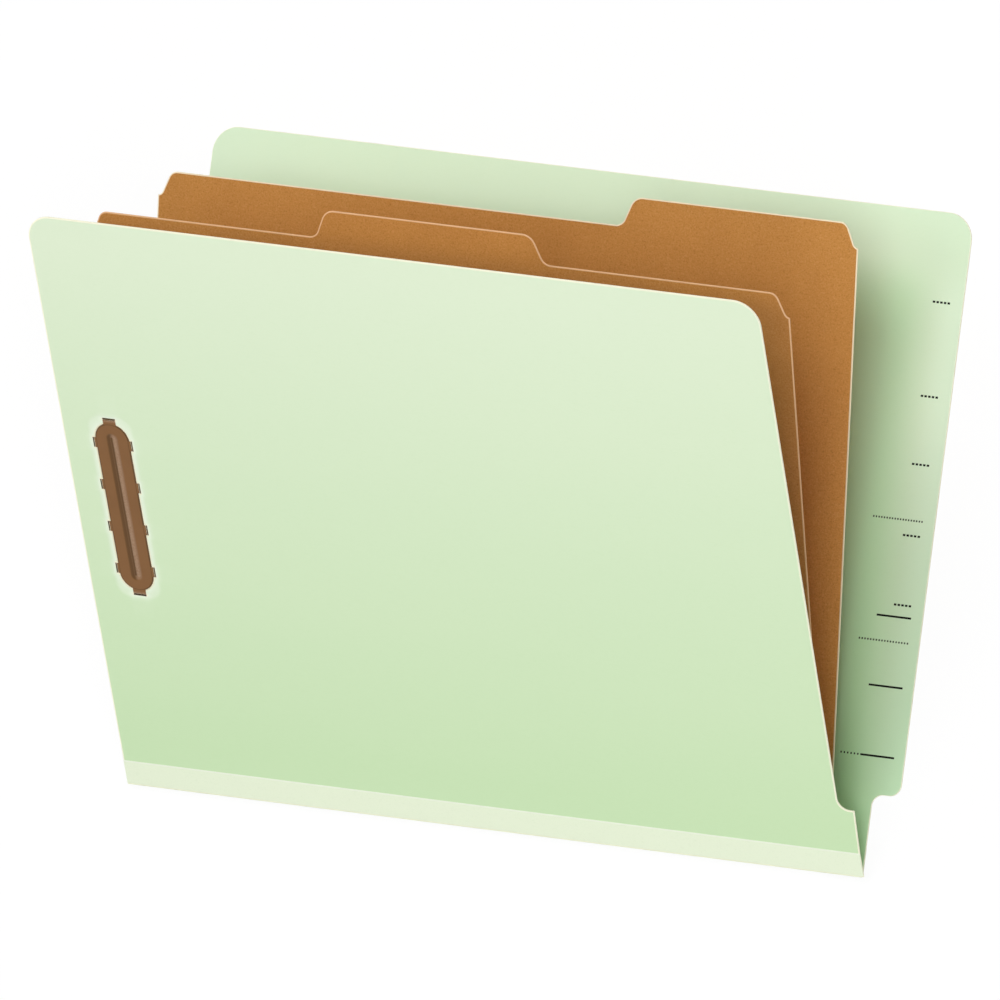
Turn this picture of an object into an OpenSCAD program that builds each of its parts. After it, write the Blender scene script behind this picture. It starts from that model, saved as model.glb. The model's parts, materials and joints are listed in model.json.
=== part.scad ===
// Classification folder, letter size: two pressboard covers, two dividers,
// a pleated spine and a two-prong fastener on each of the six paper faces.
// It lies on its back cover. X runs along the spine, Y from the spine to the
// top edges and Z up. The origin is the middle of the back cover's outer face.

/* [Covers] */
// Width of the back cover with its end tab
back_w = 311.2; // [306:0.1:330]
// Height of the covers from the spine to the top edge
cover_h = 241.3; // [238:0.1:260]
// Length of the spine
spine_w = 301.2; // [290:0.1:302]
// Distance of the front cover's right edge from the spine's end, above its notch
front_set_back = 4.8; // [4.7:0.1:12]
// How much wider the front cover is at its top edge than at its notch
front_flare = 2.5; // [0:0.1:4]
// How much wider the front cover is at the foot of its notch than at its tape
shoulder_flare = 1.2; // [0:0.1:2]
// Height of the front cover's notch above the spine
notch_h = 27.8; // [15:0.1:60]
// Height of the end tab's lower edge above the spine
tab_h = 29.3; // [20:0.1:60]
// Thickness of the pressboard
cover_t = 0.64; // [0.6:0.01:1]
// Radius of the covers' top corners
cover_corner_r = 10; // [2:0.5:20]
// Radius of the end tab's lower corner
tab_corner_r = 4.5; // [1:0.1:5]
// Radius of the hollow under the end tab
tab_hollow_r = 4.3; // [1:0.1:5]
// Radius of the hollow in the front cover's notch
notch_hollow_r = 4.5; // [1:0.1:4.7]

/* [Dividers] */
// Distance of the dividers from the left edge of the covers
divider_inset = 0.6; // [0.3:0.1:4]
// Distance of the dividers' right edge from the spine's end
divider_set_back = 14.4; // [6:0.1:30]
// Height of the front divider without its tab
front_divider_h = 222.7; // [180:0.1:226]
// Height of the rear divider without its tab
rear_divider_h = 225.3; // [180:0.1:227]
// Height of a divider's tab
divider_tab_h = 11; // [7:0.1:11]
// Width of a divider's tab at its foot
divider_tab_w = 98.8; // [60:0.5:120]
// Angle of the slope at the side of a tab
tab_slope_angle = 67; // [50:1:75]
// Radius of the hollow at the foot of that slope
tab_foot_r = 4; // [1:0.1:4.5]
// Radius of the round at the top of that slope
tab_top_r = 5.4; // [1:0.1:5.5]
// Distance of the front divider's tab from its left edge
front_tab_x = 90.8; // [20:0.1:150]
// Thickness of the divider board
divider_t = 0.43; // [0.3:0.01:0.6]
// Width of the ogee cut at a divider's top corner
ogee_w = 7.2; // [6:0.1:8]
// Height of the ogee cut
ogee_h = 9.1; // [8:0.1:10]
// Radius of the round at the top of the ogee cut
ogee_round_r = 3; // [2:0.1:4]
// Radius of the hollow at the foot of the ogee cut
ogee_hollow_r = 10; // [8:0.5:16]

/* [Opening] */
// Angle between the back cover and the rear divider
rear_gap_angle = 10.2; // [6:0.1:20]
// Angle between the rear divider and the front divider
middle_gap_angle = 13.7; // [6:0.1:20]
// Angle between the front divider and the front cover
front_gap_angle = 10.6; // [6:0.1:20]
// Widest angle of the rear gap
rear_open_angle = 40; // [20:1:60]
// Widest angle of the middle gap
middle_open_angle = 50; // [20:1:60]
// Widest angle of the front gap
front_open_angle = 90; // [20:1:100]

/* [Spine] */
// Width of the tape on the outside of each cover
tape_w = 9.8; // [5:0.1:20]
// Thickness of the tape and of the bindings
tape_t = 0.15; // [0.1:0.01:0.2]
// Depth of a gusset pleat
pleat_depth = 12; // [6:0.5:25]
// Thickness of the gusset fabric
pleat_t = 0.13; // [0.1:0.01:0.2]
// Space between the layers of a folded pleat
pleat_gap = 0.04; // [0.02:0.01:0.1]

/* [Fasteners] */
// Distance of the fasteners from the left edge of the covers
fastener_x = 19.6; // [16:0.1:60]
// Height of the fasteners' middle above the spine
fastener_h = 119.9; // [90:0.1:130]
// Distance between the roots of a pair of prongs
prong_pitch = 70; // [64:0.5:80]
// Distance of a prong's root from the end of its base strip
prong_inset = 1.5; // [1.2:0.1:4]
// Width of the outer plate
plate_w = 13.8; // [12:0.1:15]
// Thickness of the outer plate
plate_t = 0.35; // [0.25:0.01:0.38]
// Width of the groove in the outer plate
groove_w = 4.2; // [2:0.1:5]
// Distance of the groove from the ends of the outer plate
groove_margin = 4.3; // [2:0.1:12]
// Depth of the groove
groove_depth = 0.2; // [0.1:0.01:0.22]
// Margin of the pressed pocket around a cover's plate and teeth
pocket_margin = 1; // [0.5:0.1:4]
// Depth of the pressed pocket
pocket_depth = 0.08; // [0.04:0.01:0.12]
// Radius of the pocket's corners
pocket_corner_r = 5; // [1:0.5:6]
// Number of teeth along each side of a plate
teeth = 4; // [3:1:5]
// Distance between those teeth
tooth_pitch = 17.8; // [14:0.1:18]
// Width of a side tooth
tooth_w = 4.2; // [2:0.1:6]
// Width of an end tooth
end_tooth_w = 5.2; // [3:0.1:6]
// Reach of a side tooth beyond the edge of its plate
tooth_reach = 1; // [0.8:0.1:2]
// Reach of an end tooth beyond the end of its plate
end_tooth_reach = 2.1; // [1.9:0.1:3]
// Length of a tooth's bent end
tooth_fold = 2.8; // [1:0.1:3]
// Length of a tooth's root within its plate
tooth_root = 1; // [0.5:0.1:2]
// Width of a base strip
strip_w = 12; // [8:0.1:13]
// Radius of a base strip's corners
strip_corner_r = 2; // [0.5:0.1:4]
// Thickness of a base strip
strip_t = 0.3; // [0.2:0.01:0.5]
// Length of a prong
prong_len = 25.4; // [15:0.1:30]
// Width of a prong
prong_w = 4; // [3:0.1:6]
// Wall of the lug behind a prong's root
lug_wall = 0.6; // [0.4:0.1:1]
// Thickness of a prong
prong_t = 0.35; // [0.2:0.01:0.5]

/* [Clearances] */
// Space between a leaf's round edge and its binding
hinge_clear = 0.06; // [0.04:0.01:0.1]
// Space between neighbouring leaves and bindings at the spine
leaf_clear = 0.05; // [0.03:0.01:0.2]
// Depth of the tape and the plates below a cover's outer face
flush_depth = 0.02; // [0.01:0.01:0.05]
// Space around a plate, a tape or a tooth in the board
seat_clear = 0.08; // [0.04:0.01:0.2]
// Space between the end of a base strip and an end tooth
strip_end_clear = 0.55; // [0.1:0.05:1]
// Space under a strip's clinched tooth
clinch_clear = 0.02; // [0.01:0.01:0.05]
// Space between a flat prong and its strip
prong_clear = 0.1; // [0.05:0.01:0.2]
// Space round a prong's root in its lug
root_clear = 0.05; // [0.03:0.01:0.1]

/* [Hidden] */
$fn = 64;
cut_over = 1;
// How far the hollow of an ogee cut bites into its round, so that the two arcs cross cleanly
arc_bite = 0.005;
green = [0.81, 0.91, 0.74];
tape_green = [0.90, 0.94, 0.83];
kraft = [0.72, 0.50, 0.26];
brown = [0.52, 0.37, 0.26];
steel = [0.72, 0.73, 0.74];

// Widths that follow the spine
front_w = spine_w - front_set_back;
divider_w = spine_w - divider_inset - divider_set_back;

// Hinge lines at the spine, as points of the Y and Z plane
divider_binding_r = divider_t / 2 + hinge_clear + tape_t;
cover_binding_r = cover_t / 2 + hinge_clear + tape_t;
pleat_stack = 2 * pleat_t + 2 * pleat_gap;
rear_step = cover_t + max(pleat_stack + divider_t / 2, divider_binding_r) + leaf_clear;
middle_step = max(pleat_stack + divider_t, 2 * divider_binding_r) + leaf_clear;
front_step = max(
    pleat_stack + divider_t / 2 + cover_t / 2,
    divider_binding_r + cover_binding_r
) + leaf_clear;
rear_angle = rear_gap_angle;
middle_angle = rear_angle + middle_gap_angle;
front_angle = middle_angle + front_gap_angle;
rear_hinge = [0, rear_step];
middle_hinge = rear_hinge + middle_step * [-sin(rear_angle), cos(rear_angle)];
front_hinge = middle_hinge + front_step * [-sin(middle_angle), cos(middle_angle)];

// Depths within a fastener, from the face that carries the strip
strip_pos = [fastener_x, fastener_h];
strip_len = prong_pitch + 2 * prong_inset;
plate_len = strip_len - 2 * (end_tooth_reach - plate_t - strip_end_clear);
groove_len = plate_len - 2 * groove_margin;
pocket_len = plate_len + 2 * (end_tooth_reach + pocket_margin);
pocket_w = plate_w + 2 * (tooth_reach + pocket_margin);
prong_axis = strip_t + prong_clear + prong_t / 2;
lug_len = prong_t / 2 + root_clear + lug_wall;
lug_h = prong_axis + prong_t / 3;
tip_r = prong_w * 0.3;
tip_taper = prong_w;
binding_margin = 70;
binding_end = 290;
pleat_start = cover_binding_r + leaf_clear;

// Places a leaf whose depth runs from its front face to its rear face
module on_leaf(hinge, angle, thickness) {
    translate([-back_w / 2, hinge[0] - cover_h / 2, hinge[1]])
        rotate([angle, 0, 0])
            translate([0, 0, thickness / 2])
                mirror([0, 0, 1])
                    children();
}

module on_back_cover() {
    translate([-back_w / 2, -cover_h / 2, 0])
        children();
}

module on_rear_divider() {
    on_leaf(rear_hinge, rear_angle, divider_t)
        children();
}

module on_front_divider() {
    on_leaf(middle_hinge, middle_angle, divider_t)
        children();
}

module on_front_cover() {
    on_leaf(front_hinge, front_angle, cover_t)
        children();
}

// Places a fastener, with its depth running out from the face that carries it
module on_face(depth, side) {
    translate([strip_pos[0], strip_pos[1], depth])
        mirror([0, 0, side < 0 ? 1 : 0])
            children();
}

// Draws a profile of the Y and Z plane along X
module along_x(start, length) {
    translate([start, 0, 0])
        rotate([90, 0, 90])
            linear_extrude(length)
                children();
}

// Fills the outside of a round corner, for cutting it off
module corner_cut(corner, radius, sides) {
    translate(corner)
        mirror([sides[0] < 0 ? 1 : 0, 0])
            mirror([0, sides[1] < 0 ? 1 : 0])
                difference() {
                    translate([-radius, -radius])
                        square(radius + cut_over);
                    translate([-radius, -radius])
                        circle(radius);
                }
}

// Fills a hollow corner, for adding it
module hollow_fill(corner, radius) {
    translate(corner)
        difference() {
            square(radius);
            translate([radius, radius])
                circle(radius);
        }
}

// Cuts a board's spine edge to a half round about its hinge line
module round_edge(length, thickness) {
    along_x(0, length)
        translate([0, thickness / 2])
            circle(thickness / 2);
}

// Covers
module back_outline() {
    difference() {
        union() {
            square([spine_w, cover_h]);
            translate([0, tab_h])
                square([back_w, cover_h - tab_h]);
            translate([spine_w, tab_h])
                mirror([0, 1])
                    hollow_fill([0, 0], tab_hollow_r);
        }
        corner_cut([0, cover_h], cover_corner_r, [-1, 1]);
        corner_cut([back_w, cover_h], cover_corner_r, [1, 1]);
        corner_cut([back_w, tab_h], tab_corner_r, [1, -1]);
    }
}

module front_outline() {
    difference() {
        union() {
            polygon([
                [0, 0],
                [spine_w, 0],
                [spine_w, tape_w],
                [spine_w + shoulder_flare, notch_h],
                [0, notch_h],
            ]);
            polygon([
                [0, 0],
                [front_w, 0],
                [front_w, notch_h],
                [front_w + front_flare, cover_h],
                [0, cover_h],
            ]);
            translate([front_w, notch_h])
                hollow_fill([0, 0], notch_hollow_r);
        }
        corner_cut([0, cover_h], cover_corner_r, [-1, 1]);
        corner_cut([front_w + front_flare, cover_h], cover_corner_r, [1, 1]);
    }
}

// Takes the seats of the tape and the fastener out of a cover's outer face
module cover_seats() {
    translate([-cut_over, -cover_t, -cut_over])
        cube([spine_w + 2 * cut_over, cover_t + tape_w + seat_clear, cut_over + flush_depth + tape_t]);
    translate([strip_pos[0], strip_pos[1], -cut_over])
        linear_extrude(cut_over + pocket_depth)
            rounded_slab(pocket_len, pocket_w, pocket_corner_r);
    translate([strip_pos[0], strip_pos[1], -cut_over])
        linear_extrude(cut_over + flush_depth + plate_t)
            plate_outline(plate_len, true, seat_clear);
    translate([strip_pos[0], strip_pos[1], 0])
        tooth_slots(cover_t, true);
}

module back_cover() {
    color(green)
        on_back_cover()
            difference() {
                linear_extrude(cover_t)
                    back_outline();
                cover_seats();
            }
}

module front_cover() {
    color(green)
        on_front_cover()
            difference() {
                union() {
                    linear_extrude(cover_t)
                        front_outline();
                    round_edge(spine_w, cover_t);
                }
                cover_seats();
            }
}

// Dividers
// Point at given distances from two others, on the left of the way from the first to the second
function meeting(first, first_d, second, second_d) =
    let (
        way = second - first,
        span = norm(way),
        along = (first_d * first_d - second_d * second_d + span * span) / (2 * span),
        aside = sqrt(first_d * first_d - along * along)
    )
    first + (along * way + aside * [-way[1], way[0]]) / span;

// Cuts a top corner to a round and a hollow that touch; the hollow ends at the foot of the cut
module ogee_cut() {
    round_pos = [-ogee_w, -ogee_round_r];
    centres = ogee_round_r + ogee_hollow_r - arc_bite;
    hollow_pos = meeting(round_pos, centres, [0, -ogee_h], ogee_hollow_r);
    touch_y = round_pos[1] + (hollow_pos - round_pos)[1] * ogee_round_r / centres;
    difference() {
        translate([-ogee_w, touch_y])
            square([ogee_w + cut_over, cut_over - touch_y]);
        translate(round_pos)
            circle(ogee_round_r);
    }
    translate(hollow_pos)
        circle(ogee_hollow_r);
}

// Space between a level line, the slope that rises at its end and an arc that touches both
module slope_corner(radius) {
    run = radius * tan(tab_slope_angle / 2);
    difference() {
        polygon([
            [0, 0],
            [-run, 0],
            [-run, radius],
            run * [cos(tab_slope_angle), sin(tab_slope_angle)],
        ]);
        translate([-run, radius])
            circle(radius);
    }
}

// Runs its children at the slope's end on the left of a tab and, mirrored, on its right
module at_slopes(left, right, height, at_end) {
    translate([left, height])
        children();
    if (!at_end)
        translate([right, height])
            mirror([1, 0])
                children();
}

module tab_outline(start, height, at_end) {
    far = start + divider_tab_w;
    foot = tab_foot_r * tan(tab_slope_angle / 2);
    rise = divider_tab_h / tan(tab_slope_angle);
    left = start + foot;
    right = at_end ? far : far - foot;
    top_right = at_end ? far : right - rise;
    difference() {
        union() {
            polygon([
                [left, height - cut_over],
                [left, height],
                [left + rise, height + divider_tab_h],
                [top_right, height + divider_tab_h],
                [right, height],
                [right, height - cut_over],
            ]);
            at_slopes(left, right, height, at_end)
                slope_corner(tab_foot_r);
        }
        at_slopes(left + rise, top_right, height + divider_tab_h, at_end)
            rotate(180)
                slope_corner(tab_top_r);
    }
}

module divider_outline(height, tab_start, at_end) {
    right_h = at_end ? height + divider_tab_h : height;
    difference() {
        union() {
            square([divider_w, height]);
            tab_outline(tab_start, height, at_end);
        }
        translate([0, height])
            mirror([1, 0])
                ogee_cut();
        translate([divider_w, right_h])
            ogee_cut();
    }
}

module divider_board(height, tab_start, at_end) {
    difference() {
        translate([divider_inset, 0, 0]) {
            linear_extrude(divider_t)
                divider_outline(height, tab_start, at_end);
            round_edge(divider_w, divider_t);
        }
        translate([strip_pos[0], strip_pos[1], 0])
            tooth_slots(divider_t, false);
    }
}

module rear_divider() {
    color(kraft)
        on_rear_divider()
            divider_board(rear_divider_h, divider_w - divider_tab_w, true);
}

module front_divider() {
    color(kraft)
        on_front_divider()
            divider_board(front_divider_h, front_tab_x, false);
}

// Spine
module back_tape() {
    color(tape_green)
        on_back_cover()
            along_x(0, spine_w) {
                translate([-tape_t - flush_depth, flush_depth])
                    square([tape_w + tape_t + flush_depth, tape_t]);
                translate([-tape_t - flush_depth, flush_depth])
                    square([tape_t, cover_t - flush_depth]);
            }
}

module front_tape() {
    color(tape_green)
        on_front_cover()
            along_x(0, spine_w)
                translate([0, flush_depth])
                    square([tape_w, tape_t]);
}

module binding_profile(outer_r, open_angle) {
    first = open_angle + binding_margin;
    intersection() {
        difference() {
            circle(outer_r);
            circle(outer_r - tape_t);
        }
        polygon(concat(
            [[0, 0]],
            [for (i = [0:4]) 2 * outer_r * [
                cos(first + (binding_end - first) * i / 4),
                sin(first + (binding_end - first) * i / 4)
            ]]
        ));
    }
}

module binding(hinge, base_angle, outer_r, open_angle, start, length) {
    translate([-back_w / 2, hinge[0] - cover_h / 2, hinge[1]])
        rotate([base_angle, 0, 0])
            along_x(start, length)
                binding_profile(outer_r, open_angle);
}

module rear_divider_binding() {
    color(tape_green)
        binding(rear_hinge, 0, divider_binding_r, rear_open_angle, divider_inset, divider_w);
}

module front_divider_binding() {
    color(tape_green)
        binding(middle_hinge, rear_angle, divider_binding_r, middle_open_angle, divider_inset, divider_w);
}

module front_cover_binding() {
    color(tape_green)
        binding(front_hinge, middle_angle, cover_binding_r, front_open_angle, 0, spine_w);
}

// A pleat lies folded flat on the leaf below it, open towards the spine
module pleat() {
    along_x(divider_inset, divider_w)
        translate([0, pleat_gap]) {
            for (layer = [0, 1])
                translate([pleat_start, layer * (pleat_t + pleat_gap)])
                    square([pleat_depth - pleat_start, pleat_t]);
            translate([pleat_depth, pleat_t + pleat_gap / 2])
                intersection() {
                    difference() {
                        circle(pleat_t + pleat_gap / 2);
                        circle(pleat_gap / 2);
                    }
                    translate([0, -cut_over])
                        square(2 * cut_over);
                }
        }
}

module rear_gusset() {
    color(tape_green)
        on_back_cover()
            translate([0, 0, cover_t])
                pleat();
}

module middle_gusset() {
    color(tape_green)
        on_rear_divider()
            mirror([0, 0, 1])
                pleat();
}

module front_gusset() {
    color(tape_green)
        on_front_divider()
            mirror([0, 0, 1])
                pleat();
}

// Fasteners
module stadium(length, width) {
    square([width, length - width], center = true);
    for (end = [-1, 1])
        translate([0, end * (length - width) / 2])
            circle(width / 2);
}

module rounded_slab(length, width, radius) {
    square([width - 2 * radius, length], center = true);
    square([width, length - 2 * radius], center = true);
    for (x = [-1, 1], y = [-1, 1])
        translate([x * (width / 2 - radius), y * (length / 2 - radius)])
            circle(radius);
}

// Runs its children at each side tooth, with X pointing away from the plate
module at_side_teeth() {
    for (side = [0, 1], i = [0:teeth - 1])
        mirror([side, 0, 0])
            translate([plate_w / 2, (i - (teeth - 1) / 2) * tooth_pitch, 0])
                children();
}

module at_end_teeth() {
    for (end = [0, 1])
        mirror([0, end, 0])
            translate([0, plate_len / 2, 0])
                rotate([0, 0, 90])
                    children();
}

module plate_outline(length, end_teeth, grow) {
    if (end_teeth)
        stadium(length + 2 * grow, plate_w + 2 * grow);
    else
        rounded_slab(length + 2 * grow, plate_w + 2 * grow, strip_corner_r);
    at_side_teeth()
        translate([-tooth_root, -tooth_w / 2 - grow])
            square([tooth_root + tooth_reach + grow, tooth_w + 2 * grow]);
    if (end_teeth)
        at_end_teeth()
            translate([-tooth_root, -end_tooth_w / 2 - grow])
                square([tooth_root + end_tooth_reach + grow, end_tooth_w + 2 * grow]);
}

module tooth_slots(board_t, end_teeth) {
    slot_d = plate_t + 2 * seat_clear;
    translate([0, 0, -cut_over]) {
        at_side_teeth()
            translate([tooth_reach - plate_t - seat_clear, -tooth_w / 2 - seat_clear, 0])
                cube([slot_d, tooth_w + 2 * seat_clear, board_t + 2 * cut_over]);
        if (end_teeth)
            at_end_teeth()
                translate([end_tooth_reach - plate_t - seat_clear, -end_tooth_w / 2 - seat_clear, 0])
                    cube([slot_d, end_tooth_w + 2 * seat_clear, board_t + 2 * cut_over]);
    }
}

// A tooth leaves the plate at top, goes through the board and is bent over
module tooth(top, bottom, reach, width, fold) {
    rotate([90, 0, 0])
        linear_extrude(width, center = true)
            polygon([
                [-tooth_root, top],
                [reach, top],
                [reach, fold > 0 ? bottom : bottom + plate_t],
                [reach + fold, fold > 0 ? bottom : bottom + plate_t],
                [reach + fold, fold > 0 ? bottom + plate_t : bottom],
                [reach - plate_t, fold > 0 ? bottom + plate_t : bottom],
                [reach - plate_t, top + plate_t],
                [-tooth_root, top + plate_t],
            ]);
}

module side_teeth(top, board_t) {
    at_side_teeth()
        tooth(top, board_t + strip_t + clinch_clear, tooth_reach, tooth_w, -tooth_fold);
}

// Outer plate of a cover, from the outer face inwards
module cover_plate() {
    translate([strip_pos[0], strip_pos[1], 0]) {
        difference() {
            translate([0, 0, flush_depth])
                linear_extrude(plate_t)
                    stadium(plate_len, plate_w);
            translate([0, 0, -cut_over])
                linear_extrude(cut_over + flush_depth + groove_depth)
                    stadium(groove_len, groove_w);
        }
        side_teeth(flush_depth, cover_t);
        at_end_teeth()
            tooth(flush_depth, cover_t + clinch_clear, end_tooth_reach, end_tooth_w, tooth_fold);
    }
}

// Runs its children at each prong's root, with Y pointing along the flat prong
module at_root(end) {
    mirror([0, end > 0 ? 1 : 0, 0])
        translate([0, -prong_pitch / 2, 0])
            children();
}

module prong_lugs() {
    for (end = [-1, 1])
        at_root(end)
            difference() {
                translate([-prong_w / 2, -lug_len, strip_t / 2])
                    cube([prong_w, lug_len, lug_h - strip_t / 2]);
                translate([-prong_w, 0, prong_axis])
                    rotate([0, 90, 0])
                        cylinder(h = 2 * prong_w, r = prong_t / 2 + root_clear);
            }
}

module base_strip() {
    linear_extrude(strip_t)
        rounded_slab(strip_len, strip_w, strip_corner_r);
    prong_lugs();
}

// Strip of a divider's front face, whose teeth hold the strip of its rear face
module clinched_strip() {
    linear_extrude(strip_t)
        rounded_slab(strip_len, plate_w, strip_corner_r);
    mirror([0, 0, 1])
        side_teeth(-plate_t, divider_t);
    prong_lugs();
}

module prong(end) {
    body = prong_len - tip_taper;
    at_root(end)
        translate([0, 0, prong_axis]) {
            translate([0, 0, -prong_t / 2])
                linear_extrude(prong_t) {
                    polygon([
                        [-prong_w / 2, 0],
                        [prong_w / 2, 0],
                        [prong_w / 2, body],
                        [tip_r, prong_len - tip_r],
                        [-tip_r, prong_len - tip_r],
                        [-prong_w / 2, body],
                    ]);
                    translate([0, prong_len - tip_r])
                        circle(tip_r);
                }
            translate([-prong_w / 2, 0, 0])
                rotate([0, 90, 0])
                    cylinder(h = prong_w, r = prong_t / 2);
        }
}

module back_plate() {
    color(brown)
        on_back_cover()
            cover_plate();
}

module back_strip() {
    color(steel)
        on_back_cover()
            on_face(cover_t, 1)
                base_strip();
}

module back_prong(end) {
    color(steel)
        on_back_cover()
            on_face(cover_t, 1)
                prong(end);
}

module front_plate() {
    color(brown)
        on_front_cover()
            cover_plate();
}

module front_strip() {
    color(steel)
        on_front_cover()
            on_face(cover_t, 1)
                base_strip();
}

module front_prong(end) {
    color(steel)
        on_front_cover()
            on_face(cover_t, 1)
                prong(end);
}

module face_strip() {
    color(steel)
        on_face(0, -1)
            clinched_strip();
}

module rear_strip() {
    color(steel)
        on_face(divider_t, 1)
            base_strip();
}

module face_prong(end) {
    color(steel)
        on_face(0, -1)
            prong(end);
}

module rear_prong(end) {
    color(steel)
        on_face(divider_t, 1)
            prong(end);
}

back_cover();
front_cover();
rear_divider();
front_divider();
back_tape();
front_tape();
rear_gusset();
middle_gusset();
front_gusset();
rear_divider_binding();
front_divider_binding();
front_cover_binding();
back_plate();
back_strip();
back_prong(-1);  // back_prong_lower
back_prong(1);  // back_prong_upper
front_plate();
front_strip();
front_prong(-1);  // front_prong_lower
front_prong(1);  // front_prong_upper
on_rear_divider() face_strip();  // rear_divider_face_strip
on_rear_divider() rear_strip();  // rear_divider_rear_strip
on_rear_divider() face_prong(-1);  // rear_divider_face_prong_lower
on_rear_divider() face_prong(1);  // rear_divider_face_prong_upper
on_rear_divider() rear_prong(-1);  // rear_divider_rear_prong_lower
on_rear_divider() rear_prong(1);  // rear_divider_rear_prong_upper
on_front_divider() face_strip();  // front_divider_face_strip
on_front_divider() rear_strip();  // front_divider_rear_strip
on_front_divider() face_prong(-1);  // front_divider_face_prong_lower
on_front_divider() face_prong(1);  // front_divider_face_prong_upper
on_front_divider() rear_prong(-1);  // front_divider_rear_prong_lower
on_front_divider() rear_prong(1);  // front_divider_rear_prong_upper
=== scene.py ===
import json
import bmesh
import bpy
import numpy as np
from mathutils import Matrix, Vector
from mathutils.geometry import delaunay_2d_cdt


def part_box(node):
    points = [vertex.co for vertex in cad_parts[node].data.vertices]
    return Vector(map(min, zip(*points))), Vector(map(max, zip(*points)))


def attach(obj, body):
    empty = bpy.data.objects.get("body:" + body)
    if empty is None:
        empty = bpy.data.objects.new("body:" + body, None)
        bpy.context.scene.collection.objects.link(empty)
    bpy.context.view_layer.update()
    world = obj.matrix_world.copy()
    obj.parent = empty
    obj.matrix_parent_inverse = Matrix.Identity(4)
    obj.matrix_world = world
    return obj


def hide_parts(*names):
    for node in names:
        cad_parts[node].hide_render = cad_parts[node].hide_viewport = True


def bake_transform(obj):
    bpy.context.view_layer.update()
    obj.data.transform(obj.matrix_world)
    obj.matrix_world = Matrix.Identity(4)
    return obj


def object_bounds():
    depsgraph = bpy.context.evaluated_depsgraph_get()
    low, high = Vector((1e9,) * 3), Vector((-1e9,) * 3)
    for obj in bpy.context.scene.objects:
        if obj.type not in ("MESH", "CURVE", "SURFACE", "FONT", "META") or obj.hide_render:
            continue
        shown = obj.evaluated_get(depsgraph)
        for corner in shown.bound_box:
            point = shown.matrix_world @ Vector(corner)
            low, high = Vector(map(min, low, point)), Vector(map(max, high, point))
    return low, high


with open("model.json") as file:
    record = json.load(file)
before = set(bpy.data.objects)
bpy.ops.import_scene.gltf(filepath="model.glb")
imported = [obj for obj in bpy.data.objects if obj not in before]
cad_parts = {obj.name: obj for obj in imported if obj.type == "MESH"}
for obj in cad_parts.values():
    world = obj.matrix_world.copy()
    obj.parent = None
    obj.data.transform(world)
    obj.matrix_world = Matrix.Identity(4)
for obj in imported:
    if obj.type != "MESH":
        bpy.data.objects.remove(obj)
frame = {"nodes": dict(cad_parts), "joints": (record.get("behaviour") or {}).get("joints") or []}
cadLow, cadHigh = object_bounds()
mm = 0.001
print("frame loaded,", len(frame["nodes"]), "nodes")

# Leaves: each one is a plane with x along the spine, h up from its hinge line and out towards the front
closedGap = 1.5  # degrees left between two leaves when the folder is shut
gapOfLeaf = dict(rear_divider="rear_gap_open", front_divider="middle_gap_open", front_cover="front_gap_open")
jointNamed = {j["name"]: j for j in frame["joints"]}
backLow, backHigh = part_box("back_cover")
coverT = (backHigh.z - backLow.z) / mm


def leafFrames():
    # a leaf's angle is the sum of the gaps below it; a gap's rest angle is what its joint can still close
    leaves = {"back_cover": (np.array([backLow.x, backLow.y, backLow.z + coverT * mm / 2]), 0.0)}
    turn = 0.0
    for leaf, gap in gapOfLeaf.items():
        turn += closedGap - jointNamed[gap]["range_deg"][0]
        pos = jointNamed[gap]["pos_m"]
        leaves[leaf] = (np.array([backLow.x, pos[1], pos[2]]), np.radians(turn))
    return leaves


leafOf = leafFrames()


def leafAxes(leaf):
    # the rows are ex = (1, 0, 0) along the spine, eh = (0, c, s) up the leaf and eo = (0, -s, c) out of it
    origin, angle = leafOf[leaf]
    c, s = np.cos(angle), np.sin(angle)
    return origin, np.array([[1, 0, 0], [0, c, s], [0, -s, c]])


def toWorld(leaf, points):
    # millimetres on the leaf to metres in the frame: origin + x*ex + h*eh + out*eo
    origin, axes = leafAxes(leaf)
    return origin + np.asarray(points, float) @ axes * mm


def leafBox(node, leaf):
    # lowest and highest (x, h, out) of a node on its leaf, in millimetres
    mesh = frame["nodes"][node].data
    co = np.empty(len(mesh.vertices) * 3)
    mesh.vertices.foreach_get("co", co)
    origin, axes = leafAxes(leaf)
    local = (co.reshape(-1, 3) - origin) @ axes.T / mm
    return local.min(0), local.max(0)


# thickness of each leaf's board, in millimetres
leafThick = dict(back_cover=coverT, front_cover=coverT)
for leaf in ("rear_divider", "front_divider"):
    leafLow, leafHigh = leafBox(leaf, leaf)
    leafThick[leaf] = leafHigh[2] - leafLow[2]


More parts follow.
